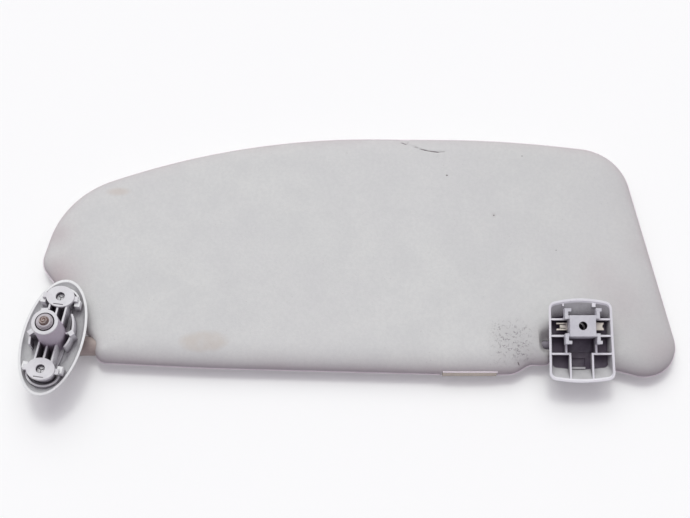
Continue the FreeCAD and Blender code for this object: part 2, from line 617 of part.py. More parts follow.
def make_bracket():
    plate = ellipse_prism(PLATE_HALF_WIDTH, SCREW_PITCH_R + DISC_HALF_LENGTH - POST_INSET,
                          BEZEL_FLOOR, BEZEL_FLOOR + PLATE_THICKNESS)
    base_r = BOSS_TOP_R + (BOSS_HEIGHT - BEZEL_FLOOR) * math.tan(math.radians(BOSS_DRAFT))
    boss = Part.makeCone(base_r, BOSS_TOP_R, BOSS_HEIGHT - BEZEL_FLOOR, Vector(0, 0, BEZEL_FLOOR))
    tab_top = BOSS_HEIGHT - RING_TAB_DROP
    ring_tab = box(-RING_TAB_WIDTH / 2, RING_TAB_WIDTH / 2, BOSS_BORE_R, BOSS_TOP_R + RING_TAB_REACH,
                   tab_top - RING_TAB_THICKNESS, tab_top)
    ring_tab.rotate(Vector(0, 0, 0), Vector(0, 0, 1), RING_TAB_TURN - MOUNT_YAW)
    added = [plate, boss, ring_tab]
    cuts = [cylinder(BUSH_R + FIT, BEZEL_FLOOR - 1, BOSS_HEIGHT + 1),
            cylinder(BOSS_BORE_R, BOSS_HEIGHT - BOSS_BORE_DEPTH, BOSS_HEIGHT + 1)]
    for side in (-1, 1):
        disc_added, disc_cuts = screw_disc(side)
        added += disc_added
        cuts += disc_cuts
        near_disc = side * (SCREW_PITCH_R - DISC_HALF_LENGTH)
        for u in (-RIB_PITCH, 0, RIB_PITCH):
            added.append(block(u - MOUNT_RIB / 2, u + MOUNT_RIB / 2, side * BOSS_BORE_R,
                               near_disc + side * (POST_INSET + POST_WALL), BEZEL_FLOOR, -RIB_DROP))
        gap_half = (RIB_PITCH - MOUNT_RIB) / 2
        for u in (-RIB_PITCH / 2, RIB_PITCH / 2):
            cuts.append(block(u - gap_half, u + gap_half, side * (base_r + MOUNT_RIB),
                              near_disc - side * MOUNT_RIB, BEZEL_FLOOR - 1, BEZEL_FLOOR + PLATE_THICKNESS))
    for wall in SIDE_WALLS:
        added += side_wall(*wall)
    above = cylinder(BEZEL_HALF_LENGTH, RIM_Z, BOSS_HEIGHT + 1)
    room = dish(BEZEL_WALL).fuse(above)
    bracket = fuse_all(added).cut(cuts).common(room)
    return turned_mount(bracket)


def make_screw_caps():
    """Plugs that close the bezel's two screw holes; each ends in a keyed face below the bearing disc."""
    caps = []
    for side, head in zip((-1, 1), cap_layer(0.0)):
        y = side * SCREW_PITCH_R
        top = -CAP_DROP
        stem = Part.makeCone(CAP_STEM_R, CAP_END_R, top - BEZEL_BOTTOM, Vector(0, y, BEZEL_BOTTOM))
        stem = stem.cut(cylinder(CAP_STEM_R + 1, BEZEL_BOTTOM - 1, BEZEL_FLOOR, 0, y).cut(dish(CAP_SKIN / 2)))
        arms = []
        for turn in (30, 150, 270):
            arm = box(0, CAP_KEY_LENGTH, -CAP_KEY_WIDTH / 2, CAP_KEY_WIDTH / 2, top - CAP_KEY_DEPTH, top + 1)
            arm.rotate(Vector(0, 0, 0), Vector(0, 0, 1), turn)
            arm.translate(Vector(0, y, 0))
            arms.append(arm)
        caps.append(turned_mount(fuse_all([head, stem]).cut(arms)))
    return Part.makeCompound(caps)


# Clip, modelled about the pin's axis as it lies when stowed
def tray(inset, floor_z):
    """The clip cover's outer form down to floor_z, or with an inset its hollow."""
    low = outline_wire(CLIP_FLOOR, floor_z, inset)
    rim = outline_wire(CLIP_RIM, PIN_RISE, inset)
    form = Part.makeLoft([low, rim], True, True)
    if inset:
        form = form.fuse(Part.Face(rim).extrude(Vector(0, 0, 1)))
    return form


def make_clip_cover():
    half = CLIP_RIB / 2
    rib_top = PIN_RISE - CLIP_RIB_DROP
    _, front, near = CLIP_RIBS_Y
    ribs = [box(-30, 30, y - half, y + half, CLIP_UNDER, rib_top) for y in CLIP_RIBS_Y[:2]]
    for side in (-1, 1):
        inner, outer = side * INNER_RIB_X, side * OUTER_RIB_X
        ribs.append(block(inner - half, inner + half, near, front, CLIP_UNDER, rib_top))
        ribs.append(block(outer - half, outer + half, -30, near, CLIP_UNDER, rib_top))
        ribs.append(block(outer - side * half, side * 30, near - half, near + half, CLIP_UNDER, rib_top))
    far = CLIP_RIM[1][1]
    for x, thickness, reach in (SPIKE, TOOTH):
        ribs.append(box(x - thickness / 2, x + thickness / 2, far - CLIP_WALL - reach, far,
                        CLIP_UNDER, rib_top))
    x0, x1, y0, y1 = WINDOW
    ribs.append(box(x0, x1, y0, y0 + LEDGE_WIDTH, CLIP_UNDER, CLIP_FLOOR_Z + LEDGE_HEIGHT))
    inside = tray(CLIP_WALL / 2, CLIP_UNDER + CLIP_WALL / 2)
    hollow_tray = tray(0, CLIP_UNDER).cut(tray(CLIP_WALL, CLIP_FLOOR_Z))
    cover = fuse_all([hollow_tray] + [rib.common(inside) for rib in ribs])
    wide, long_half = LAND_WIDTH / 2 + LAYER_GAP, LAND_LENGTH / 2 + LAYER_GAP
    stem = STEM_HALF_WIDTH + LAYER_GAP
    cuts = [
        box(-wide, wide, LAND_Y - long_half, LAND_Y + long_half, CLIP_UNDER - 1, PIN_RISE + 1),
        box(-stem, stem, -STEM_REACH - LAYER_GAP, LAND_Y, CLIP_UNDER - 1, CLIP_FLOOR_Z + 1),
        box(x0, x1, y0 + LEDGE_WIDTH, y1, CLIP_FLOOR_Z - WINDOW_DEPTH, CLIP_FLOOR_Z + 1),
    ]
    arm_low = LAND_RISE - LAND_ARM_DROP - LAND_ARM_THICKNESS - LAYER_GAP
    for side in (-1, 1):
        reach = HOOK_X + HOOK_WALL + HOOK_NOSE[side][1] + LAYER_GAP
        for end in (-1, 1):
            y = LAND_Y + end * LAND_LENGTH / 2
            cuts.append(block(0, side * reach, y - end * (HOOK_WALL + LAYER_GAP),
                              y + end * (HOOK_LENGTH + LAYER_GAP), arm_low, LAND_RISE))
    return tilted_clip(cover.cut(cuts))


def spring_plate(clearance):
    """The spring's outline, wide round the screw and narrow at its two ends."""
    z0, z1 = SPRING_Z - clearance, SPRING_Z + SPRING_THICKNESS + clearance
    middle = SPRING_BODY_HALF_WIDTH + clearance
    round_screw = SPRING_BODY_HALF_LENGTH + clearance
    tip = SPRING_HALF_WIDTH + clearance
    return fuse_all([
        box(-middle, middle, LAND_Y - round_screw, LAND_Y + round_screw, z0, z1),
        box(-tip, tip, SPRING_ARM_Y[0] - clearance, SPRING_ARM_Y[1] + clearance, z0, z1),
    ])


def make_clip_body():
    """The load-bearing block: a split sleeve that snaps over the pin, a stem and the roof land."""
    sleeve = Part.makeCylinder(JAW_R, 2 * JAW_HALF_WIDTH, Vector(-JAW_HALF_WIDTH, 0, 0), Vector(1, 0, 0))
    stem = box(-STEM_HALF_WIDTH, STEM_HALF_WIDTH, -STEM_REACH, STEM_REACH, 0, CLIP_FLOOR_Z)
    bridge = box(-STEM_HALF_WIDTH, STEM_HALF_WIDTH, 0, LAND_Y, CLIP_UNDER, CLIP_FLOOR_Z)
    land = box(-LAND_WIDTH / 2, LAND_WIDTH / 2, LAND_Y - LAND_LENGTH / 2, LAND_Y + LAND_LENGTH / 2,
               CLIP_UNDER, LAND_RISE)
    added = [sleeve, stem, bridge, land]
    top = LAND_RISE - LAND_ARM_DROP
    low = top - LAND_ARM_THICKNESS
    for side in (-1, 1):
        outside = side * (HOOK_X + HOOK_WALL)
        inward, outward = HOOK_NOSE[side]
        for end in (-1, 1):
            y = LAND_Y + end * LAND_LENGTH / 2
            tip = y + end * HOOK_LENGTH
            added.append(block(0, outside, y - end * HOOK_WALL, y, low, top))
            added.append(block(side * HOOK_X, outside, y - end * HOOK_WALL, tip, low, top))
            added.append(block(side * (HOOK_X - inward), outside + side * outward, tip - end * HOOK_WALL, tip,
                               top - HOOK_WALL, top))
    bore = Part.makeCylinder(PIN_R + FIT, 2 * JAW_HALF_WIDTH + 2, Vector(-JAW_HALF_WIDTH - 1, 0, 0),
                             Vector(1, 0, 0))
    cuts = [
        bore,
        box(-JAW_HALF_WIDTH - 1, JAW_HALF_WIDTH + 1, -JAW_MOUTH / 2, JAW_MOUTH / 2, -JAW_R - 1, 0),
        cylinder(LAND_HOLE_R, LAND_RISE - LAND_HEAD_SEAT - 1, LAND_RISE + 1, 0, LAND_Y),
        cylinder(LAND_ACCESS_R, CLIP_UNDER - 1, LAND_RISE - LAND_HEAD_SEAT, 0, LAND_Y),
        spring_plate(FIT),
    ]
    return tilted_clip(fuse_all(added).cut(cuts))


def make_clip_spring():
    """The plate held in the block's slot: a fork on one side, a flag on the other."""
    z1 = SPRING_Z + SPRING_THICKNESS
    y0, y1 = SPRING_ARM_Y[0] + FINGER, SPRING_ARM_Y[1] - FINGER
    root, middle = -LAND_WIDTH / 2 - 1, -SPRING_HALF_WIDTH + FINGER_TIP
    cuts = [
        cylinder(LAND_ACCESS_R - FIT, SPRING_Z - 1, z1 + 1, 0, LAND_Y),
        box(-SPRING_HALF_WIDTH - 1, middle, y0, y1, SPRING_Z - 1, z1 + 1),
        box(middle, root, y0, y0 + FINGER_SLIT, SPRING_Z - 1, z1 + 1),
        box(middle, root, y1 - FINGER_SLIT, y1, SPRING_Z - 1, z1 + 1),
        cylinder(FLAG_BITE_R, SPRING_Z - 1, z1 + 1, SPRING_HALF_WIDTH + FLAG_BITE_R / 2, (y0 + y1) / 2),
    ]
    return tilted_clip(spring_plate(0.0).cut(cuts))


PIECES = {
    "mount_bracket": make_bracket,
    "mount_bezel": make_bezel,
    "screw_caps": make_screw_caps,
    "pivot_bush": make_bush,
    "pivot_rod": make_rod,
    "elbow_cover": make_elbow_cover,
    "spring_washer": make_spring_washer,
    "rod_retainer": make_retainer,
    "upper_cover": lambda: make_cover(True),
    "lower_cover": lambda: make_cover(False),
    "upper_shell": lambda: make_shell(True),
    "lower_shell": lambda: make_shell(False),
    "rod_housing": lambda: housing_half(False),
    "housing_cap": lambda: housing_half(True),
    "housing_screws": make_housing_screws,
    "friction_clip": make_friction_clip,
    "end_pin": make_end_pin,
    "seam_insert": make_seam_insert,
    "clip_cover": make_clip_cover,
    "clip_body": make_clip_body,
    "clip_spring": make_clip_spring,
}

for name, make in PIECES.items():
    shape = make()
    shape.exportStep("parts/" + name + ".step")
    state = "valid" if shape.isValid() else "INVALID"
    print(name, len(shape.Solids), "solids", round(shape.Volume), "mm3", state)
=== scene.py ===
import math

import bmesh
import bpy
import numpy as np
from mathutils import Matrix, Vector, noise
from mathutils.geometry import delaunay_2d_cdt


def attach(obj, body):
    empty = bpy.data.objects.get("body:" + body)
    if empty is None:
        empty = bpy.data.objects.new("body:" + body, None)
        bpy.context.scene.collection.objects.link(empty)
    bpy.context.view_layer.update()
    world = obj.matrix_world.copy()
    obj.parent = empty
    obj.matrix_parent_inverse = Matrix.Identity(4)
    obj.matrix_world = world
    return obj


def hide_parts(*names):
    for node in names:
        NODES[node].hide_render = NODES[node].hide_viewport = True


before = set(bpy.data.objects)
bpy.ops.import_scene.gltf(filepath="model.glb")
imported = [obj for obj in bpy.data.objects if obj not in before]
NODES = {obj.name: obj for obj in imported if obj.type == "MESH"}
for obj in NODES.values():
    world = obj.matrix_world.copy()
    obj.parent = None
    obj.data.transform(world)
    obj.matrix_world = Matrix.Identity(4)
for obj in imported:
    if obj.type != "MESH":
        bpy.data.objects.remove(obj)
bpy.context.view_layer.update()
MM = 0.001

# Panel, in millimetres in the CAD frame
SEAM_Z = -25.5
UPPER_HEIGHT = 8.5
LOWER_HEIGHT = 8.5
TAPER = math.tan(math.radians(1.7))
ROLL_R = 17.0
ROLL_POWER = 2.2
SKIN_THICKNESS = 0.9
GRID = 2.4
OUTLINE = [
    (25.6, -12.0, 8.5), (25.0, -1.0, 10.0), (-1.0, 38.5, 25.0), (-17.4, 59.5, 14.5),
    (-5.4, 113.4, 64.0), (121.0, 161.0, 500.0), (304.5, 159.1, 700.0), (390.0, 148.6, 37.0),
    (419.9, -30.6, 22.5), (366.0, -15.6, 7.5), (366.0, 8.0, 5.0), (331.0, 8.0, 5.0),
    (331.0, -13.9, 6.0), (315.5, -13.7, 9.0), (305.0, -20.3, 16.0), (261.5, -20.3, 400.0),
    (99.5, -15.7, 600.0),
]
INSERT_X = (257.5, 293.5)
RING_INSETS = (0.25, 0.8, 1.6, 2.7, 4.0, 5.6, 7.4, 9.4, 11.6, 14.0, 16.6)  # rings of points that follow the edge
GRID_INSET = 18.4  # edge to the plain grid of points
CREASE_PATCH = (228, 272, 144, 158.5, 0.7, 1.2)  # finer points: x and y bounds, spacing and inset from the edge
VALLEY_PATCH = (311, 331, -12, 14, 0.8, 0.6)
PATCH_MARGIN = 0.6  # from the valley's finer points to the plain ones
CREASE_REACH = 3.6  # finer points lie this near a crease
CREASE_CLEAR = 4.0  # and plain ones this far from it
CLIP_X = 348.5  # middle of the clip and its notch
NOTCH_HALF_WIDTH = 17.5
NOTCH_Y = (-14.0, 34.0)
NOTCH_FADE = (16.0, 8.0, 14.0)  # beside, below and above the notch, where its roll gives way to the plain one
NOTCH_ROLL_R = 10.5  # the roll is tighter at the notch
ELBOW_ROLL_R = 6.0  # and tighter still where the elbow goes in
ELBOW_FADE_X = (32.0, 46.0)
ELBOW_Y = 2.0
ELBOW_FADE_Y = 16.0
VALLEY_Y = 0.6  # the valley that the pin lies in, beside the notch
VALLEY_HALF_WIDTH = 6.6
VALLEY_X = (300.0, 340.0)
VALLEY_FLOOR = 1.0  # seam to the valley's floor
VALLEY_STEP = (8.0, 321.0, 327.0)  # height of the step at its closed end, and where it ends and starts
VALLEY_SLOPE = (3.0, 12.0)  # rise and length of the slope after the step
CROWN = 0.5
WAVES = [(60, 2.0, 0.16, 14), (17, 5.0, 0.07, 8)]  # size, seed, height and distance from the edge to full height
NICK = (308.1, -14.6)
NICK_SIZE = (2.0, 1.4)
NICK_DEPTH = 0.8
SCUFF = (304.0, 0.0, 13.5, 14.0)  # middle and half sizes
PINK_SPOTS = [  # middle, size and strength of the pinkish tints
    (-4.0, 47.0, 16, 1.0), (-9.3, 81.6, 12, 0.45), (366.9, 45.3, 18, 0.22), (382.4, 30.3, 22, 0.22),
    (408.6, -6.2, 18, 0.4), (403.5, 68.4, 16, 0.25),
]
DARK_SPOTS = [(398, -2, 34, 34, 0.24), (327, 1, 8, 9, 0.5)]  # middle, sizes along X and Y, and strength of darker patches; the one in the valley beside the pin is painted shade
DARKEN_X = (250, 420)  # the panel gets darker from here to here
ELBOW_HOLE = (6.9, -8.0, 34.6)  # radius, and ends along X
PIN_HOLE = (3.75, 318.0, 379.0)
INSERT_Y = (-26.0, -14.4)
INSERT_Z = (-1.7, 2.7)  # about the seam
INSERT_GAP = 0.2
BEAD_CLEAR_INSERT = 0.4  # where the seam's bead stops: from the insert's ends
BEAD_CLEAR_ELBOW = 7.2  # from the middle of the elbow
BEAD_CLEAR_PIN = 4.1  # and from the middle of the pin
LEFT_END_X = 40.0  # the edge at the elbow is left of this
LIP_OVERLAP = 1.0  # the insert's bead past its ends
LIP_RISE = 2.95  # seam to the bead over the insert
LIP_BACK = 0.75  # and how far it is set back from the edge
BEAD_SECTION = [(0.75, -0.1), (0.6, 0.2), (0.0, 0.5), (-0.9, 0.5), (-0.9, -0.42), (0.0, -0.42), (0.6, -0.32)]

# Marks on the upper face
CREASES = [  # each fold's line, width and depth
    ([(233.2, 156.0), (236.7, 154.5)], 0.9, 0.40),
    ([(236.9, 155.9), (238.3, 156.4)], 0.8, 0.20),
    ([(236.7, 154.5), (238.7, 153.9), (242.8, 152.2)], 1.6, 0.14),
    ([(242.9, 152.2), (245.2, 150.8)], 1.3, 0.30),
    ([(246.4, 150.3), (250.2, 149.0), (254.3, 148.0), (260.5, 147.3)], 0.9, 0.45),
    ([(260.5, 147.5), (264.3, 147.8)], 1.6, 0.18),
]
# middle and size of each dark speck
SPECKS = [(265.3, 128.0, 0.9), (297.0, 95.5, 0.7), (338.5, 68.0, 0.5), (319.9, 144.2, 0.6)]
STROKES = [  # start, end, half width and strength of each dark line of painted shade: the crease's and the nick's
    ((233.3, 156.1), (237.3, 154.1), 0.42, 0.75), ((237.4, 155.1), (238.8, 156.4), 0.35, 0.3),
    ((242.8, 152.2), (245.5, 151.2), 0.7, 0.3), ((246.4, 150.3), (253.5, 148.3), 0.45, 0.75),
    ((253.0, 148.5), (260.8, 147.1), 0.42, 0.85), ((260.9, 147.7), (264.6, 147.9), 0.6, 0.28),
    ((307.4, -13.7), (308.5, -15.7), 0.5, 0.85),
]

# Rod's turned tip
TIP_R = 2.75
TIP_HEIGHT = 1.5
TIP_BASE = 19.85
TIP_SHIFT = (-0.25, 0.0)
TIP_RINGS = 26
TIP_SIDES = 56
TIP_GROOVE = 0.16
TIP_PITCH = 3.6  # radians of the spiral's turn for each millimetre of radius

# Places that the materials need
CLIP_UP = (0.0, -0.258819, 0.965926)
CLIP_HOLE = ((CLIP_X, 3.542, 1.849), CLIP_UP, 4.6, -1.2)  # mouth, axis, radius and depth of the screw hole
CLIP_FLOOR = ((CLIP_X, 0.0, SEAM_Z), CLIP_UP, 11.0)  # pin's middle, the clip's up, height of its floor
BOSS_SHADE = (9.8, 16.9)  # radius about the swing axis, and upper end, of the boss side painted mauve as shade
RUST_Z = (0.0150, 0.0172)
RUST_SPIRAL = 4200.0  # radians of the turning marks for each metre of radius
STAIN = ((98.4, 0.2, 0.0), (0.7, 1.5, 0.0))  # middle, and how much each axis is stretched
SMALL_STAIN = ((32.4, 114.8, 0.0), (1.0, 2.4, 0.0))

# Floor, light and camera
FLOOR_MIDDLE = (0.2, 0.06)
FLOOR_HALF = 2.5
FLOOR_GAP = 0.0002
FLOOR_GLOW = 0.13  # how much of the floor's white the camera sees without light, for shadows as pale as these
SKY_LOW = (0.23, 0.195, 0.255, 1.0)
SKY_HIGH = (0.58, 0.56, 0.60, 1.0)
SKY_SIDE = (0.0, 0.62, 0.78)  # the side that the paler light comes from
SUN_COLOUR = (0.965, 1.0, 0.95)
SUNS = [  # name, energy, angle and direction: a wide one, and a small one for crisper shadows
    ("key", 1.3, 56, (0.06, -0.52, -0.85)),
    ("crisp_key", 0.6, 14, (0.05, -0.40, -0.91)),
]
CAMERA_PLACE = (0.19274, -0.30234, 0.76123)
CAMERA_TILT = 25.0
LENS = 65.217


def srgb(r, g, b):
    """A colour written as 0-255 sRGB values."""
    return tuple(((c / 255 + 0.055) / 1.055) ** 2.4 for c in (r, g, b)) + (1.0,)


# near black, painted into screw holes as shade
HOLE_SHADE = srgb(30, 24, 34)
FLOOR_WHITE = srgb(250, 250, 250)


# Node helpers
def new_material(name):
    mat = bpy.data.materials.new(name)
    mat.use_nodes = True
    mat.node_tree.nodes.clear()
    return mat


class Tree:
    """Short calls for building a material's nodes."""

    def __init__(self, mat):
        self.t = mat.node_tree
        self.coords = self.add("ShaderNodeTexCoord").outputs["Object"]

    def add(self, kind, **settings):
        node = self.t.nodes.new(kind)
        for key, value in settings.items():
            setattr(node, key, value)
        return node

    def link(self, a, b):
        self.t.links.new(a, b)

    def put(self, socket, value):
        if isinstance(value, bpy.types.NodeSocket):
            self.link(value, socket)
        else:
            socket.default_value = value

    def noise(self, scale, detail=2.0, rough=0.5):
        n = self.add("ShaderNodeTexNoise")
        self.link(self.coords, n.inputs["Vector"])
        n.inputs["Scale"].default_value = scale
        n.inputs["Detail"].default_value = detail
        n.inputs["Roughness"].default_value = rough
        return n.outputs["Fac"]

    def voronoi(self, scale, feature="F1"):
        n = self.add("ShaderNodeTexVoronoi", feature=feature)
        self.link(self.coords, n.inputs["Vector"])
        n.inputs["Scale"].default_value = scale
        return n.outputs["Distance"]

    def math(self, operation, a, b=0.0, clamp=False):
        n = self.add("ShaderNodeMath", operation=operation, use_clamp=clamp)
        self.put(n.inputs[0], a)
        self.put(n.inputs[1], b)
        return n.outputs[0]

    def ramp(self, value, low, high, to_low=0.0, to_high=1.0):
        n = self.add("ShaderNodeMapRange", interpolation_type="SMOOTHSTEP")
        self.put(n.inputs["Value"], value)
        n.inputs["From Min"].default_value = low
        n.inputs["From Max"].default_value = high
        n.inputs["To Min"].default_value = to_low
        n.inputs["To Max"].default_value = to_high
        return n.outputs["Result"]

    def mix(self, factor, a, b):
        n = self.add("ShaderNodeMix", data_type="RGBA")
        self.put(n.inputs[0], factor)
        self.put(n.inputs[6], a)
        self.put(n.inputs[7], b)
        return n.outputs[2]

    def axis(self, which):
        n = self.add("ShaderNodeSeparateXYZ")
        self.link(self.coords, n.inputs[0])
        return n.outputs["XYZ".index(which)]

    def distance(self, point, stretch=(1.0, 1.0, 1.0)):
        """Distance from a point given in mm, with each axis stretched."""
        n = self.add("ShaderNodeVectorMath", operation="MULTIPLY")
        self.link(self.coords, n.inputs[0])
        n.inputs[1].default_value = stretch
        d = self.add("ShaderNodeVectorMath", operation="DISTANCE")
        self.link(n.outputs[0], d.inputs[0])
        d.inputs[1].default_value = [p * MM * s for p, s in zip(point, stretch)]
        return d.outputs["Value"]

    def stroke(self, start, end, half_width):
        """1 on a thin line in plan that tapers at both ends; lengths in mm."""
        flat = (1.0, 1.0, 0.0)
        both = self.math("ADD", self.distance((*start, 0.0), flat), self.distance((*end, 0.0), flat))
        length = math.dist(start, end)
        reach = 2 * math.hypot(length / 2, half_width)
        return self.ramp(both, (length + (reach - length) * 0.3) * MM, reach * MM, 1.0, 0.0)

    def height(self, base, up):
        """Height over a point along a direction."""
        away = self.add("ShaderNodeVectorMath", operation="SUBTRACT")
        self.link(self.coords, away.inputs[0])
        away.inputs[1].default_value = [c * MM for c in base]
        along = self.add("ShaderNodeVectorMath", operation="DOT_PRODUCT")
        self.link(away.outputs[0], along.inputs[0])
        along.inputs[1].default_value = up
        return along.outputs["Value"]

    def inside_bore(self, centre, axis, radius, rise):
        """1 below the mouth of a screw hole, within its radius; lengths in mm."""
        height = self.height(centre, axis)
        size = self.distance(centre)
        square = self.math("SUBTRACT", self.math("MULTIPLY", size, size), self.math("MULTIPLY", height, height))
        across = self.math("SQRT", square)
        near = self.ramp(across, radius * MM, (radius + 0.15) * MM, 1.0, 0.0)
        return self.math("MULTIPLY", near, self.ramp(height, rise * MM, (rise + 0.8) * MM, 1.0, 0.0))

    def swing_radius(self):
        """Distance from the swing axis."""
        x, y = self.axis("X"), self.axis("Y")
        return self.math("SQRT", self.math("ADD", self.math("MULTIPLY", x, x), self.math("MULTIPLY", y, y)))

    def crevice(self, distance, low, high):
        """1 in the open, 0 where walls stand close round a point."""
        n = self.add("ShaderNodeAmbientOcclusion", samples=6)
        n.inputs["Distance"].default_value = distance
        return self.ramp(n.outputs["AO"], low, high)

    def attribute(self, name):
        return self.add("ShaderNodeAttribute", attribute_name=name).outputs["Fac"]

    def bump(self, height, strength, distance, under=None):
        n = self.add("ShaderNodeBump")
        n.inputs["Strength"].default_value = strength
        n.inputs["Distance"].default_value = distance
        self.link(height, n.inputs["Height"])
        if under is not None:
            self.link(under, n.inputs["Normal"])
        return n.outputs["Normal"]

    def soft_edges(self, radius):
        n = self.add("ShaderNodeBevel", samples=4)
        n.inputs["Radius"].default_value = radius
        return n.outputs["Normal"]

    def shader(self, colour, roughness, normal=None, metallic=0.0, specular=0.35):
        s = self.add("ShaderNodeBsdfPrincipled")
        self.put(s.inputs["Base Color"], colour)
        self.put(s.inputs["Roughness"], roughness)
        s.inputs["Metallic"].default_value = metallic
        s.inputs["Specular IOR Level"].default_value = specular
        if normal is not None:
            self.link(normal, s.inputs["Normal"])
        self.out = self.add("ShaderNodeOutputMaterial")
        self.link(s.outputs[0], self.out.inputs[0])
        return s


# Materials
def vinyl(name):
    """The grained cover: mottle, darker patches, pinkish tints, stains, scuffs and specks; painted shade along its
    edge, its creases and nick, in the valley beside the pin and down the screw hole.
    """
    mat = new_material(name)
    t = Tree(mat)
    mottle = t.ramp(t.noise(38, 4, 0.6), 0.3, 0.7)
    colour = t.mix(mottle, srgb(202, 202, 202), srgb(208, 208, 207))
    wide = t.ramp(t.noise(9, 2), 0.35, 0.65, 0.0, 0.5)
    colour = t.mix(wide, colour, srgb(203, 202, 203))
    fine = t.ramp(t.noise(430, 3, 0.7), 0.34, 0.66)
    colour = t.mix(t.math("MULTIPLY", fine, 0.3), colour, srgb(190, 190, 191))
    top = t.ramp(t.axis("Z"), (SEAM_Z + 0.1) * MM, (SEAM_Z + 0.6) * MM)
    # darker towards the right, near the edge, in the scuff and in two patches; the patch in the valley beside the
    # pin is painted shade
    colour = t.mix(t.attribute("darkening"), colour, srgb(160, 157, 158))
    pink = t.math("MULTIPLY", t.attribute("edge_tint"), t.ramp(t.noise(22, 3), 0.3, 0.7, 0.5, 1.0))
    colour = t.mix(pink, colour, srgb(176, 158, 163))
    # painted shade: a thin darker edge along the outline
    colour = t.mix(t.math("MULTIPLY", t.attribute("edge_shade"), 0.5), colour, srgb(142, 128, 140))
    stain = t.distance(*STAIN)
    stain = t.math("ADD", stain, t.math("MULTIPLY", t.noise(110, 4, 0.6), 0.006))
    stain = t.ramp(stain, 0.0105, 0.0165, 0.55, 0.0)
    stain = t.math("MULTIPLY", stain, t.ramp(t.noise(130, 4), 0.3, 0.62, 0.6, 1.0))
    stain = t.math("MULTIPLY", stain, top)
    colour = t.mix(stain, colour, srgb(190, 180, 172))
    stain_two = t.ramp(t.distance(*SMALL_STAIN), 0.003, 0.011, 0.5, 0.0)
    stain_two = t.math("MULTIPLY", stain_two, top)
    colour = t.mix(stain_two, colour, srgb(192, 180, 172))
    scuff = t.attribute("scuff")
    crackle = t.voronoi(620, "DISTANCE_TO_EDGE")
    crackle = t.ramp(crackle, 0.02, 0.18, 1.0, 0.0)
    patches = t.ramp(t.noise(420, 3, 0.65), 0.5, 0.62)
    dark_share = t.math("MULTIPLY", scuff, t.math("MULTIPLY", crackle, patches), clamp=True)
    colour = t.mix(t.math("MULTIPLY", dark_share, 0.72), colour, srgb(108, 100, 108))
    dots = t.ramp(t.voronoi(330), 0.05, 0.2, 1.0, 0.0)
    dots = t.math("MULTIPLY", dots, t.ramp(t.noise(90, 1), 0.6, 0.68))
    colour = t.mix(t.math("MULTIPLY", dots, 0.3), colour, srgb(160, 150, 156))
    # painted shade along the creases and in the nick, with the specks' own dark colour
    colour = t.mix(t.math("MULTIPLY", t.attribute("mark"), 0.3), colour, srgb(116, 104, 108))
    # dark strokes of painted shade along the creases and in the nick, and the dark specks
    crease_shade_and_specks = None
    for start, end, half_width, strength in STROKES:
        one = t.math("MULTIPLY", t.stroke(start, end, half_width), strength)
        crease_shade_and_specks = one if crease_shade_and_specks is None else t.math("MAXIMUM", crease_shade_and_specks, one)
    for px, py, size in SPECKS:
        one = t.ramp(t.distance((px, py, 0.0), (0.8, 1.0, 0.0)), 0.35 * size * MM, 0.85 * size * MM, 0.9, 0.0)
        crease_shade_and_specks = t.math("MAXIMUM", crease_shade_and_specks, one)
    crease_shade_and_specks = t.math("MULTIPLY", crease_shade_and_specks, top)
    colour = t.mix(crease_shade_and_specks, colour, srgb(92, 80, 84))
    # painted shade: the skin seen down the clip's screw hole is near black
    colour = t.mix(t.inside_bore(*CLIP_HOLE), colour, HOLE_SHADE)
    grain = t.voronoi(1500, "SMOOTH_F1")
    pebble = t.noise(760, 3, 0.65)
    waves = t.noise(34, 2)
    normal = t.bump(waves, 0.25, 0.0012)
    normal = t.bump(grain, 0.35, 0.00012, normal)
    normal = t.bump(pebble, 0.5, 0.00016, normal)
    normal = t.bump(dark_share, 0.5, 0.0003, normal)
    normal = t.bump(t.math("SUBTRACT", 1.0, crease_shade_and_specks), 0.5, 0.0003, normal)
    rough = t.ramp(t.noise(300, 2), 0.3, 0.7, 0.62, 0.76)
    t.shader(colour, rough, normal, specular=0.3)
    return mat


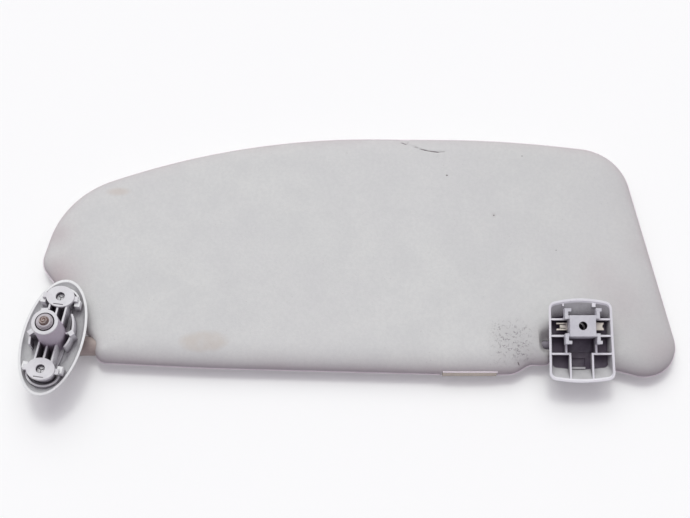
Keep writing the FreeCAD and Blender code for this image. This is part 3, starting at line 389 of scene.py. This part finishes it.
def moulded(name, light, dark, shade_and_scratch_colour, shade_amount=0.6, reach=0.0, low=0.3, high=0.9, bevel=0.0003,
            rough=(0.45, 0.6), texture=0.25, bore=None, floor=None, tint=None, top_highlight=None):
    """Moulded plastic: soft edges, faint flow marks, and painted shade where walls stand within reach of each
    other.

    bore is a screw hole painted near black inside as shade, floor a height about which the tray's floor is painted
    dark as shade, tint a boss side painted mauve as shade, and top_highlight a height above which faces are
    painted lighter as a highlight.
    """
    mat = new_material(name)
    t = Tree(mat)
    colour = t.mix(t.ramp(t.noise(120, 4, 0.6), 0.3, 0.7), dark, light)
    # painted highlight: faces above a height are lighter
    if top_highlight is not None:
        base, up, level, highlight_colour = top_highlight
        raised = t.ramp(t.height(base, up), (level - 0.25) * MM, (level + 0.05) * MM)
        colour = t.mix(raised, colour, highlight_colour)
    # painted shade: darker where walls stand close, found by ambient occlusion
    if reach:
        open_ground = t.crevice(reach, low, high)
        dark_share = t.math("SUBTRACT", 1.0, open_ground)
        dark_share = t.math("MULTIPLY", dark_share, t.ramp(t.noise(160, 3), 0.2, 0.7, 0.8, 1.0))
        colour = t.mix(t.math("MULTIPLY", dark_share, shade_amount), colour, shade_and_scratch_colour)
    # painted shade: the boss's side turns mauve
    if tint is not None:
        radius, top = tint
        near = t.ramp(t.swing_radius(), (radius - 0.2) * MM, (radius + 0.4) * MM, 0.55, 0.0)
        near = t.math("MULTIPLY", near, t.ramp(t.axis("Z"), (top - 0.5) * MM, top * MM, 1.0, 0.0))
        colour = t.mix(near, colour, srgb(166, 146, 168))
    # painted shade: the tray's floor is dark about a height
    if floor is not None:
        base, up, level = floor
        rise = t.height(base, up)
        deep = t.ramp(rise, level * MM, (level + 0.5) * MM, 0.93, 0.0)
        deep = t.math("MULTIPLY", deep, t.ramp(rise, (level - 1.4) * MM, (level - 1.2) * MM))
        colour = t.mix(t.math("MULTIPLY", deep, t.ramp(t.noise(150, 3), 0.2, 0.7, 0.85, 1.0)), colour, shade_and_scratch_colour)
    # painted shade: the screw hole is near black inside
    if bore is not None:
        colour = t.mix(t.inside_bore(*bore), colour, HOLE_SHADE)
    scratches = t.ramp(t.noise(700, 2, 0.5), 0.62, 0.74)
    colour = t.mix(t.math("MULTIPLY", scratches, 0.12), colour, shade_and_scratch_colour)
    normal = t.soft_edges(bevel)
    normal = t.bump(t.noise(1400, 2), texture, 0.00008, normal)
    t.shader(colour, t.ramp(t.noise(200, 3), 0.3, 0.7, rough[0], rough[1]), normal)
    return mat


def rusty_steel(name):
    """The rod: dull plated steel, rusted on its open end with turning marks that wind round it and are painted
    lighter as a highlight.
    """
    mat = new_material(name)
    t = Tree(mat)
    n = t.noise(240, 4, 0.65)
    steel = t.mix(t.ramp(n, 0.3, 0.7), srgb(142, 138, 137), srgb(172, 168, 166))
    end = t.ramp(t.axis("Z"), *RUST_Z)
    patches = t.ramp(t.noise(520, 4, 0.7), 0.32, 0.62, 0.55, 1.0)
    rust = t.mix(t.ramp(t.noise(380, 3), 0.3, 0.7), srgb(96, 74, 70), srgb(132, 106, 98))
    colour = t.mix(t.math("MULTIPLY", end, patches), steel, rust)
    angle = t.math("ARCTAN2", t.axis("Y"), t.axis("X"))
    spiral = t.math("SINE", t.math("ADD", t.math("MULTIPLY", t.swing_radius(), RUST_SPIRAL), angle))
    # painted highlight: the spiral of turning marks on the rusted end is lighter
    mark = t.math("MULTIPLY", t.ramp(spiral, 0.35, 0.95), end)
    colour = t.mix(t.math("MULTIPLY", mark, 0.6), colour, srgb(190, 180, 178))
    normal = t.bump(spiral, 0.35, 0.0002, t.soft_edges(0.0003))
    normal = t.bump(n, 0.25, 0.0001, normal)
    t.shader(colour, t.ramp(n, 0.3, 0.7, 0.38, 0.58), normal, metallic=0.25, specular=0.35)
    return mat


def spring_steel(name):
    """Plated spring steel with small rust specks."""
    mat = new_material(name)
    t = Tree(mat)
    n = t.noise(300, 4, 0.6)
    colour = t.mix(t.ramp(n, 0.3, 0.7), srgb(188, 178, 176), srgb(214, 206, 204))
    colour = t.mix(t.ramp(t.noise(700, 3), 0.6, 0.72, 0.0, 0.6), colour, srgb(168, 132, 124))
    normal = t.bump(n, 0.25, 0.0001, t.soft_edges(0.00025))
    t.shader(colour, t.ramp(n, 0.3, 0.7, 0.34, 0.5), normal, metallic=0.5, specular=0.4)
    return mat


CLIP_HIGHLIGHT = (*CLIP_FLOOR[:2], 16.8, srgb(226, 224, 230))  # tops of the tray's walls and ribs above this height are painted lighter, as a highlight
# the bezel's top above this height is painted lighter, as a highlight
BEZEL_HIGHLIGHT = ((0.0, 0.0, 0.0), (0.0, 0.0, 1.0), -8.25, srgb(228, 228, 229))
# painted shade in the tray's pockets: its colour, which also tints scratches, its strength, how far it looks for
# walls, and its ramp
TRAY_SHADE = (srgb(56, 42, 62), 0.95, 0.009, 0.15, 0.62)
# Materials with a reach have their crevices painted darker as shade.
MATERIALS = {
    "mount_plastic": moulded(
        "mount_plastic", srgb(218, 217, 220), srgb(209, 207, 211), srgb(66, 54, 68), 0.9, 0.009, 0.15, 0.6,
        tint=BOSS_SHADE),
    "bezel_plastic": moulded(
        "bezel_plastic", srgb(202, 202, 203), srgb(192, 192, 194), srgb(92, 80, 92), 0.6, 0.012, 0.15, 0.6,
        top_highlight=BEZEL_HIGHLIGHT),
    "cap_plastic": moulded(
        "cap_plastic", srgb(226, 225, 227), srgb(216, 215, 218), srgb(70, 58, 72), 0.8, 0.003),
    "bush_plastic": moulded(
        "bush_plastic", srgb(160, 148, 154), srgb(146, 132, 140), srgb(84, 70, 78), 0.7, 0.003),
    "elbow_plastic": moulded(
        "elbow_plastic", srgb(176, 162, 157), srgb(164, 150, 146), srgb(92, 82, 82), 0.4, 0.010, 0.1, 0.6),
    "rod_steel": rusty_steel("rod_steel"),
    "spring_steel": spring_steel("spring_steel"),
    "retainer_plate": moulded(
        "retainer_plate", srgb(196, 190, 195), srgb(184, 177, 183), srgb(92, 78, 86), 0.7, 0.0016, 0.4, 0.95,
        bevel=0.0002),
    "shell_plastic": moulded(
        "shell_plastic", srgb(180, 178, 176), srgb(168, 166, 165), srgb(120, 112, 112), 0.3),
    "housing_plastic": moulded(
        "housing_plastic", srgb(74, 72, 74), srgb(64, 62, 64), srgb(50, 48, 50), 0.3),
    "pin_plastic": moulded(
        "pin_plastic", srgb(150, 144, 154), srgb(136, 130, 140), srgb(70, 64, 72), 0.6, 0.008),
    "insert_plastic": moulded(
        "insert_plastic", srgb(196, 186, 174), srgb(184, 174, 164), srgb(120, 108, 102), 0.6, 0.004),
    "clip_cover_plastic": moulded(
        "clip_cover_plastic", srgb(186, 185, 187), srgb(176, 174, 177), *TRAY_SHADE,
        floor=CLIP_FLOOR, top_highlight=CLIP_HIGHLIGHT),
    "clip_body_plastic": moulded(
        "clip_body_plastic", srgb(209, 208, 214), srgb(199, 198, 205), *TRAY_SHADE,
        floor=CLIP_FLOOR, bore=CLIP_HOLE),
    "prong_plastic": moulded(
        "prong_plastic", srgb(238, 231, 221), srgb(228, 220, 208), srgb(150, 134, 126), 0.4, 0.003,
        bore=CLIP_HOLE),
}
# painted highlight: the seam's bead is paler than the cover so that it shows as a light line; its crevices get
# painted shade
BEAD = moulded(
    "seam_vinyl", srgb(240, 232, 236), srgb(230, 221, 226), srgb(140, 130, 140), 0.5, 0.003, texture=0.3)
NODE_MATERIALS = {
    "mount_bracket": "mount_plastic", "mount_bezel": "bezel_plastic", "screw_caps": "cap_plastic",
    "pivot_bush": "bush_plastic", "pivot_rod": "rod_steel", "elbow_cover": "elbow_plastic",
    "spring_washer": "spring_steel", "rod_retainer": "retainer_plate", "upper_shell": "shell_plastic",
    "lower_shell": "shell_plastic", "rod_housing": "housing_plastic", "housing_cap": "housing_plastic",
    "housing_screws": "spring_steel", "friction_clip": "spring_steel", "end_pin": "pin_plastic",
    "seam_insert": "insert_plastic", "clip_cover": "clip_cover_plastic", "clip_body": "clip_body_plastic",
    "clip_spring": "prong_plastic",
}
for node, material in NODE_MATERIALS.items():
    NODES[node].data.materials.clear()
    NODES[node].data.materials.append(MATERIALS[material])
VINYL = vinyl("cover_vinyl")


def make_object(bm, name):
    """An object in the scene from a bmesh, which is freed."""
    mesh = bpy.data.meshes.new(name)
    bm.to_mesh(mesh)
    bm.free()
    obj = bpy.data.objects.new(name, mesh)
    bpy.context.scene.collection.objects.link(obj)
    return obj


def shade_smooth(obj, degrees):
    """Smooth shading, with sharp edges where faces meet at more than an angle."""
    for poly in obj.data.polygons:
        poly.use_smooth = True
    obj.data.set_sharp_from_angle(angle=math.radians(degrees))


def outline_points(corners, spacing=2.0):
    """The panel's outline as a closed line of points."""
    count = len(corners)
    arcs = []
    for i in range(count):
        corner = Vector(corners[i][:2])
        back = (Vector(corners[i - 1][:2]) - corner).normalized()
        ahead = (Vector(corners[(i + 1) % count][:2]) - corner).normalized()
        half = math.acos(max(-1.0, min(1.0, back.dot(ahead)))) / 2
        radius = corners[i][2]
        centre = corner + (back + ahead).normalized() * (radius / math.sin(half))
        start = corner + back * (radius / math.tan(half))
        end = corner + ahead * (radius / math.tan(half))
        a0 = math.atan2(start.y - centre.y, start.x - centre.x)
        a1 = math.atan2(end.y - centre.y, end.x - centre.x)
        turn = (a1 - a0 + math.pi) % (2 * math.pi) - math.pi
        steps = max(3, int(abs(turn) * radius / spacing) + 1, int(abs(turn) / math.radians(9)) + 1)
        arcs.append([centre + radius * Vector((math.cos(a0 + turn * k / steps), math.sin(a0 + turn * k / steps)))
                     for k in range(steps + 1)])
    points = []
    for i in range(count):
        points += arcs[i]
        start, end = arcs[i][-1], arcs[(i + 1) % count][0]
        steps = max(1, int((end - start).length / spacing))
        points += [start.lerp(end, k / steps) for k in range(1, steps)]
    return np.array([[p.x, p.y] for p in points])


EDGE = outline_points(OUTLINE)
EDGE_NEXT = np.roll(EDGE, -1, axis=0)
TANGENT = np.roll(EDGE, -1, axis=0) - np.roll(EDGE, 1, axis=0)
TANGENT /= np.linalg.norm(TANGENT, axis=1)[:, None]
INWARD = np.stack([TANGENT[:, 1], -TANGENT[:, 0]], axis=1)


def edge_distance(points):
    """Distance of each point to the outline."""
    along = EDGE_NEXT - EDGE
    length = np.maximum((along ** 2).sum(1), 1e-9)
    out = np.empty(len(points))
    for i in range(0, len(points), 2000):
        p = points[i:i + 2000, None, :]
        t = np.clip(((p - EDGE[None]) * along[None]).sum(2) / length[None], 0, 1)
        near = EDGE[None] + t[..., None] * along[None]
        out[i:i + 2000] = np.sqrt(((p - near) ** 2).sum(2)).min(1)
    return out


def inside(points):
    """Whether each point is inside the outline."""
    x, y = points[:, 0][:, None], points[:, 1][:, None]
    x0, y0, x1, y1 = EDGE[:, 0], EDGE[:, 1], EDGE_NEXT[:, 0], EDGE_NEXT[:, 1]
    crosses = (y0 > y) != (y1 > y)
    span = np.where(np.abs(y1 - y0) < 1e-12, 1e-12, y1 - y0)
    at = x0 + (y - y0) * (x1 - x0) / span
    return (crosses & (x < at)).sum(1) % 2 == 1


def line_distance(points, line):
    """Distance of each point to an open line of points."""
    best = np.full(len(points), 1e9)
    for a, b in zip(line[:-1], line[1:]):
        a, b = np.array(a, float), np.array(b, float)
        t = np.clip(((points - a) @ (b - a)) / ((b - a) @ (b - a)), 0, 1)
        best = np.minimum(best, np.linalg.norm(points - (a + t[:, None] * (b - a)), axis=1))
    return best


def crease_distance(points):
    """Distance of each point to the nearest crease."""
    return np.min([line_distance(points, line) for line, _, _ in CREASES], axis=0)


# Skins
def patch(x0, x1, y0, y1, spacing, inset):
    """A grid of points between bounds, where it is inside the edge by more than an inset."""
    points = np.array([[x, y] for x in np.arange(x0, x1, spacing) for y in np.arange(y0, y1, spacing)])
    points = points[inside(points)]
    return points[edge_distance(points) > inset]


def plan_points(upper):
    """The skin's points in plan: rings that follow the edge, then a grid, finer at the creases and the valley."""
    sets = []
    for inset in RING_INSETS:
        ring = EDGE + INWARD * inset
        keep = inside(ring) & (edge_distance(ring) > inset * 0.985)
        ring = ring[keep]
        spaced, last = [], None
        for p in ring:
            if last is None or np.linalg.norm(p - last) > 0.35 + 0.09 * inset:
                spaced.append(p)
                last = p
        sets.append(np.array(spaced))
    low, high = EDGE.min(0), EDGE.max(0)
    xs = np.arange(low[0], high[0], GRID)
    ys = np.arange(low[1], high[1], GRID)
    grid = np.array([[x + (GRID / 2 if j % 2 else 0), y] for j, y in enumerate(ys) for x in xs])
    grid = grid[inside(grid)]
    grid = grid[edge_distance(grid) > GRID_INSET]
    sets.append(grid)
    if upper:
        fine = patch(*CREASE_PATCH)
        fine = fine[crease_distance(fine) < CREASE_REACH]
        sets = [s[crease_distance(s) > CREASE_CLEAR] for s in sets]
        x0, x1, y0, y1 = VALLEY_PATCH[:4]
        sets = [s[(s[:, 0] < x0 - PATCH_MARGIN) | (s[:, 0] > x1 + PATCH_MARGIN)
                  | (s[:, 1] < y0 - PATCH_MARGIN) | (s[:, 1] > y1 + PATCH_MARGIN)] for s in sets]
        sets += [fine, patch(*VALLEY_PATCH)]
    return np.concatenate(sets)


def roll(distance, radius, power):
    """Share of the full height at a distance from the edge."""
    share = np.clip(1 - distance / radius, 0, 1)
    return (1 - share ** power) ** (1 / power)


def soft_waves(points, size, seed):
    """Smooth noise between about -1 and 1, with waves of a size."""
    return np.array([noise.noise(Vector((p[0] / size, p[1] / size, seed))) for p in points])


def skin_heights(points, distance, upper):
    """Height of the skin over the seam."""
    x, y = points[:, 0], points[:, 1]
    beside, below, above = NOTCH_FADE
    notch = np.clip(1 - np.maximum(np.abs(x - CLIP_X) - NOTCH_HALF_WIDTH, 0) / beside, 0, 1)
    notch *= np.clip((NOTCH_Y[1] - y) / above, 0, 1)
    notch *= np.clip((y - NOTCH_Y[0]) / below, 0, 1)
    elbow = np.clip((ELBOW_FADE_X[1] - x) / (ELBOW_FADE_X[1] - ELBOW_FADE_X[0]), 0, 1)
    elbow *= np.clip(1.35 - np.abs(y - ELBOW_Y) / ELBOW_FADE_Y, 0, 1)
    radius = ROLL_R - (ROLL_R - NOTCH_ROLL_R) * notch - (ROLL_R - ELBOW_ROLL_R) * np.minimum(elbow, 1)
    valley = np.exp(-(np.abs(y - VALLEY_Y) / VALLEY_HALF_WIDTH) ** 3) * (x > VALLEY_X[0]) * (x < VALLEY_X[1])
    step, step_end, step_start = VALLEY_STEP
    slope, slope_length = VALLEY_SLOPE
    ramp = np.clip((step_start - x) / (step_start - step_end), 0, 1)
    floor_height = VALLEY_FLOOR + step * ramp * ramp * (3 - 2 * ramp)
    floor_height += slope * np.clip((step_end - x) / slope_length, 0, 1)
    if not upper:
        return LOWER_HEIGHT * roll(distance, radius, ROLL_POWER)
    crown = CROWN * np.clip(distance / 70, 0, 1)
    height = (UPPER_HEIGHT - TAPER * y) * roll(distance, radius, ROLL_POWER) + crown
    for size, seed, rise, reach in WAVES:
        height += rise * soft_waves(points, size, seed) * np.clip(distance / reach, 0, 1)
    for line, width, deep in CREASES:
        near = line_distance(points, line)
        height -= deep * np.exp(-(near / (width * 0.6)) ** 2) * np.clip(distance / 1.5, 0, 1)
        height += deep * 0.25 * np.exp(-((near - width * 1.5) / width) ** 2) * np.clip(distance / 4, 0, 1)
    for px, py, size in SPECKS:
        near = np.hypot(x - px, y - py)
        height -= 0.25 * np.exp(-(near / (2.2 * size)) ** 2)
    height -= valley * np.maximum(height - floor_height, 0)
    nick = np.hypot((x - NICK[0]) / NICK_SIZE[0], (y - NICK[1]) / NICK_SIZE[1])
    height -= NICK_DEPTH * np.exp(-nick ** 2) * np.clip(distance, 0, 1)
    return height


def skin_marks(plan, distance, upper):
    """How much of each kind of darkening, tint, wear and painted shade every point of the skin has."""
    x, y = plan[:, 0], plan[:, 1]
    mark = np.zeros(len(plan))
    scuff = np.zeros(len(plan))
    if upper:
        tint = np.exp(-distance / 4.0) * 0.5
        for px, py, size, amount in PINK_SPOTS:
            tint = np.maximum(tint, amount * np.exp(-(np.hypot(x - px, y - py) / size) ** 2))
        tint = np.maximum(tint, np.clip((x - 372) / 45, 0, 1) * 0.3 * np.exp(-distance / 26))
        scuff = np.exp(-(((x - SCUFF[0]) / SCUFF[2]) ** 4 + ((y - SCUFF[1]) / SCUFF[3]) ** 4))
        # painted shade along the creases and in the nick; the specks are dark marks
        for line, width, deep in CREASES:
            mark = np.maximum(mark, 1.5 * deep * np.exp(-(line_distance(plan, line) / (0.62 * width)) ** 2))
        for px, py, size in SPECKS:
            mark = np.maximum(mark, 0.8 * np.exp(-(np.hypot(x - px, y - py) / (0.9 * size)) ** 2))
        mark = np.maximum(mark, 0.8 * np.exp(-((x - NICK[0]) ** 2 + (y - NICK[1]) ** 2) / 1.2))
    else:
        tint = np.exp(-distance / 5) * 0.5
    # darker towards the right, near the edge and in the scuff; the spot in the valley beside the pin is painted
    # shade
    darkening = 0.16 * np.clip((x - DARKEN_X[0]) / (DARKEN_X[1] - DARKEN_X[0]), 0, 1) + 0.10 * np.exp(-distance / 10)
    darkening += 0.26 * scuff
    for px, py, wide, deep, amount in DARK_SPOTS:
        darkening += amount * np.exp(-np.hypot((x - px) / wide, (y - py) / deep) ** 2)
    # edge_shade is a thin line of painted shade along the edge
    return {"edge_tint": tint, "scuff": scuff, "mark": mark, "edge_shade": np.exp(-distance / 0.7), "darkening": darkening}


def make_skin(name, upper):
    """One face's skin: its plan points joined to triangles, raised to their heights, with its marks."""
    inner = plan_points(upper)
    points = np.concatenate([EDGE, inner])
    count = len(EDGE)
    edges = [(i, (i + 1) % count) for i in range(count)]
    verts, _, faces, origin, _, _ = delaunay_2d_cdt(
        [Vector(p) for p in points.tolist()], edges, [], 1, 1e-5)
    plan = np.array([[v.x, v.y] for v in verts])
    distance = edge_distance(plan)
    distance[[i for i, o in enumerate(origin) if any(k < count for k in o)]] = 0.0
    height = skin_heights(plan, distance, upper)
    sign = 1 if upper else -1
    bm = bmesh.new()
    made = [bm.verts.new((p[0] * MM, p[1] * MM, (SEAM_Z + sign * (0.05 + max(h, 0.0))) * MM))
            for p, h in zip(plan, height)]
    for f in faces:
        corners = [made[i] for i in f]
        if not upper:
            corners.reverse()
        bm.faces.new(corners)
    bm.normal_update()
    if sum(f.normal.z for f in bm.faces) * sign < 0:
        bmesh.ops.reverse_faces(bm, faces=bm.faces)
    obj = make_object(bm, name)
    for key, values in skin_marks(plan, distance, upper).items():
        layer = obj.data.attributes.new(key, "FLOAT", "POINT")
        layer.data.foreach_set("value", values.astype(np.float32))
    return obj


def apply_modifiers(obj):
    """Replaces the mesh by what its modifiers make of it."""
    depsgraph = bpy.context.evaluated_depsgraph_get()
    mesh = bpy.data.meshes.new_from_object(obj.evaluated_get(depsgraph))
    obj.modifiers.clear()
    old = obj.data
    obj.data = mesh
    bpy.data.meshes.remove(old)


def x_cylinder(bm, radius, x0, x1, z, sides=48):
    """A closed cylinder along X into a bmesh."""
    rings = []
    for x in (x0, x1):
        rings.append([bm.verts.new((x * MM, radius * math.cos(2 * math.pi * k / sides) * MM,
                                    (z + radius * math.sin(2 * math.pi * k / sides)) * MM)) for k in range(sides)])
    for k in range(sides):
        bm.faces.new((rings[0][k], rings[0][(k + 1) % sides], rings[1][(k + 1) % sides], rings[1][k]))
    bm.faces.new(list(reversed(rings[0])))
    bm.faces.new(rings[1])


def block(bm, x0, x1, y0, y1, z0, z1):
    """A closed box into a bmesh."""
    corners = [bm.verts.new((x * MM, y * MM, z * MM)) for x in (x0, x1) for y in (y0, y1) for z in (z0, z1)]
    for quad in ((0, 1, 3, 2), (4, 6, 7, 5), (0, 4, 5, 1), (2, 3, 7, 6), (0, 2, 6, 4), (1, 5, 7, 3)):
        bm.faces.new([corners[i] for i in quad])


def openings():
    """One body that is cut from the skins: the elbow's way in, the pin's ends and the seam insert."""
    bm = bmesh.new()
    x_cylinder(bm, *ELBOW_HOLE, SEAM_Z)
    x_cylinder(bm, *PIN_HOLE, SEAM_Z)
    block(bm, INSERT_X[0] - INSERT_GAP, INSERT_X[1] + INSERT_GAP, *INSERT_Y, *(SEAM_Z + z for z in INSERT_Z))
    bmesh.ops.recalc_face_normals(bm, faces=bm.faces)
    return make_object(bm, "openings")


def finish_skin(obj, cutter, node):
    """Thickness, openings, material and place in the assembly."""
    thick = obj.modifiers.new("thickness", "SOLIDIFY")
    thick.thickness = SKIN_THICKNESS * MM
    thick.offset = -1.0
    cut = obj.modifiers.new("openings", "BOOLEAN")
    cut.operation = "DIFFERENCE"
    cut.solver = "EXACT"
    cut.object = cutter
    apply_modifiers(obj)
    shade_smooth(obj, 42)
    obj.data.materials.clear()
    obj.data.materials.append(VINYL)
    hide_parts(node)
    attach(obj, "panel")


cutter = openings()
upper_skin = make_skin("upper_skin", True)
lower_skin = make_skin("lower_skin", False)
finish_skin(upper_skin, cutter, "upper_cover")
finish_skin(lower_skin, cutter, "lower_cover")


# Seam bead along the edge, open at the elbow, the pin and the insert
def bead_run(indices, name, rise=0.0, back=0.1):
    """A bead along some of the edge's points, raised over the seam and set back from the edge."""
    bm = bmesh.new()
    rings = []
    for i in indices:
        ring = []
        for out, up in BEAD_SECTION:
            p = EDGE[i] - INWARD[i] * (out - back)
            ring.append(bm.verts.new((p[0] * MM, p[1] * MM, (SEAM_Z + rise + up) * MM)))
        rings.append(ring)
    n = len(BEAD_SECTION)
    for a, b in zip(rings[:-1], rings[1:]):
        for k in range(n):
            bm.faces.new((a[k], a[(k + 1) % n], b[(k + 1) % n], b[k]))
    bm.faces.new(rings[0])
    bm.faces.new(list(reversed(rings[-1])))
    bmesh.ops.recalc_face_normals(bm, faces=bm.faces)
    obj = make_object(bm, name)
    shade_smooth(obj, 50)
    obj.data.materials.append(BEAD)
    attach(obj, "panel")


def runs():
    """The stretches of the edge that have a bead, as lists of point numbers."""
    x, y = EDGE.T
    free = (x > INSERT_X[0] - BEAD_CLEAR_INSERT) & (x < INSERT_X[1] + BEAD_CLEAR_INSERT) & (y < 0)
    free |= (np.abs(y) < BEAD_CLEAR_ELBOW) & (x < LEFT_END_X)
    free |= (np.abs(y) < BEAD_CLEAR_PIN) & (np.abs(x - CLIP_X) < NOTCH_HALF_WIDTH + 1.0)
    start = int(np.argmax(free))
    found, current = [], []
    for k in range(len(EDGE)):
        i = (start + k) % len(EDGE)
        if free[i]:
            if len(current) > 2:
                found.append(current)
            current = []
        else:
            current.append(i)
    if len(current) > 2:
        found.append(current)
    return found


for number, indices in enumerate(runs()):
    bead_run(indices, f"seam_bead_{number + 1}")
lip = [i for i, (x, y) in enumerate(EDGE) if y < 0 and INSERT_X[0] - LIP_OVERLAP < x < INSERT_X[1] + LIP_OVERLAP]
bead_run(lip, "insert_lip", LIP_RISE, LIP_BACK)
bpy.data.objects.remove(cutter)


# Rod's turned tip, proud of the push nut
def rod_tip():
    bm = bmesh.new()
    rings = [[bm.verts.new((TIP_SHIFT[0] * MM, TIP_SHIFT[1] * MM, (TIP_BASE + TIP_HEIGHT) * MM))]]
    for k in range(1, TIP_RINGS + 1):
        share = k / TIP_RINGS
        radius = TIP_R * math.sin(share * math.pi / 2)
        deep = TIP_GROOVE * min(1.0, 2.5 * (1 - share)) * min(1.0, radius)
        ring = []
        for j in range(TIP_SIDES):
            angle = 2 * math.pi * j / TIP_SIDES
            height = TIP_HEIGHT * (1 - share ** 5) + deep * math.sin(radius * TIP_PITCH + angle)
            ring.append(bm.verts.new(((TIP_SHIFT[0] + radius * math.cos(angle)) * MM,
                                      (TIP_SHIFT[1] + radius * math.sin(angle)) * MM, (TIP_BASE + height) * MM)))
        rings.append(ring)
    foot = [bm.verts.new((v.co.x, v.co.y, (TIP_BASE - 0.3) * MM)) for v in rings[-1]]
    for j in range(TIP_SIDES):
        n = (j + 1) % TIP_SIDES
        bm.faces.new((rings[0][0], rings[1][j], rings[1][n]))
        for a, b in zip(rings[1:], rings[2:] + [foot]):
            bm.faces.new((a[j], b[j], b[n], a[n]))
    bm.faces.new(list(reversed(foot)))
    bmesh.ops.recalc_face_normals(bm, faces=bm.faces)
    obj = make_object(bm, "rod_tip")
    shade_smooth(obj, 60)
    obj.data.materials.append(MATERIALS["rod_steel"])
    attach(obj, "arm")


rod_tip()


# Floor, light and camera
def floor():
    bm = bmesh.new()
    bmesh.ops.create_grid(bm, x_segments=8, y_segments=8, size=FLOOR_HALF)
    obj = make_object(bm, "floor")
    obj.location = (*FLOOR_MIDDLE, (SEAM_Z - LOWER_HEIGHT) * MM - FLOOR_GAP)
    mat = new_material("floor_white")
    t = Tree(mat)
    lit = t.shader(FLOOR_WHITE, 0.9, specular=0.0)
    glow = t.add("ShaderNodeEmission")
    glow.inputs["Color"].default_value = FLOOR_WHITE
    both = t.add("ShaderNodeMixShader")
    t.link(t.math("MULTIPLY", t.add("ShaderNodeLightPath").outputs["Is Camera Ray"], FLOOR_GLOW), both.inputs[0])
    t.link(lit.outputs[0], both.inputs[1])
    t.link(glow.outputs[0], both.inputs[2])
    t.link(both.outputs[0], t.out.inputs[0])
    obj.data.materials.append(mat)


floor()


def studio():
    """World light that is paler from above and behind."""
    world = bpy.data.worlds.new("studio")
    bpy.context.scene.world = world
    world.use_nodes = True
    t = Tree(world)
    direction = t.add("ShaderNodeVectorMath", operation="DOT_PRODUCT")
    t.link(t.add("ShaderNodeTexCoord").outputs["Generated"], direction.inputs[0])
    direction.inputs[1].default_value = SKY_SIDE
    from_behind = t.ramp(direction.outputs["Value"], -0.6, 0.9)
    background = world.node_tree.nodes["Background"]
    t.link(t.mix(from_behind, SKY_LOW, SKY_HIGH), background.inputs["Color"])


def sun(name, energy, angle, direction):
    light = bpy.data.lights.new(name, "SUN")
    light.energy = energy
    light.angle = math.radians(angle)
    light.color = SUN_COLOUR
    obj = bpy.data.objects.new(name, light)
    obj.rotation_euler = Vector(direction).to_track_quat("-Z", "Y").to_euler()
    bpy.context.scene.collection.objects.link(obj)


studio()
for settings in SUNS:
    sun(*settings)

lens = bpy.data.cameras.new("camera")
lens.sensor_width = 36.0
lens.lens = LENS
lens.clip_start = 0.01
camera = bpy.data.objects.new("camera", lens)
camera.location = CAMERA_PLACE
camera.rotation_euler = (math.radians(CAMERA_TILT), 0.0, 0.0)
bpy.context.scene.collection.objects.link(camera)
bpy.context.scene.camera = camera
bpy.context.scene.view_settings.view_transform = "Standard"
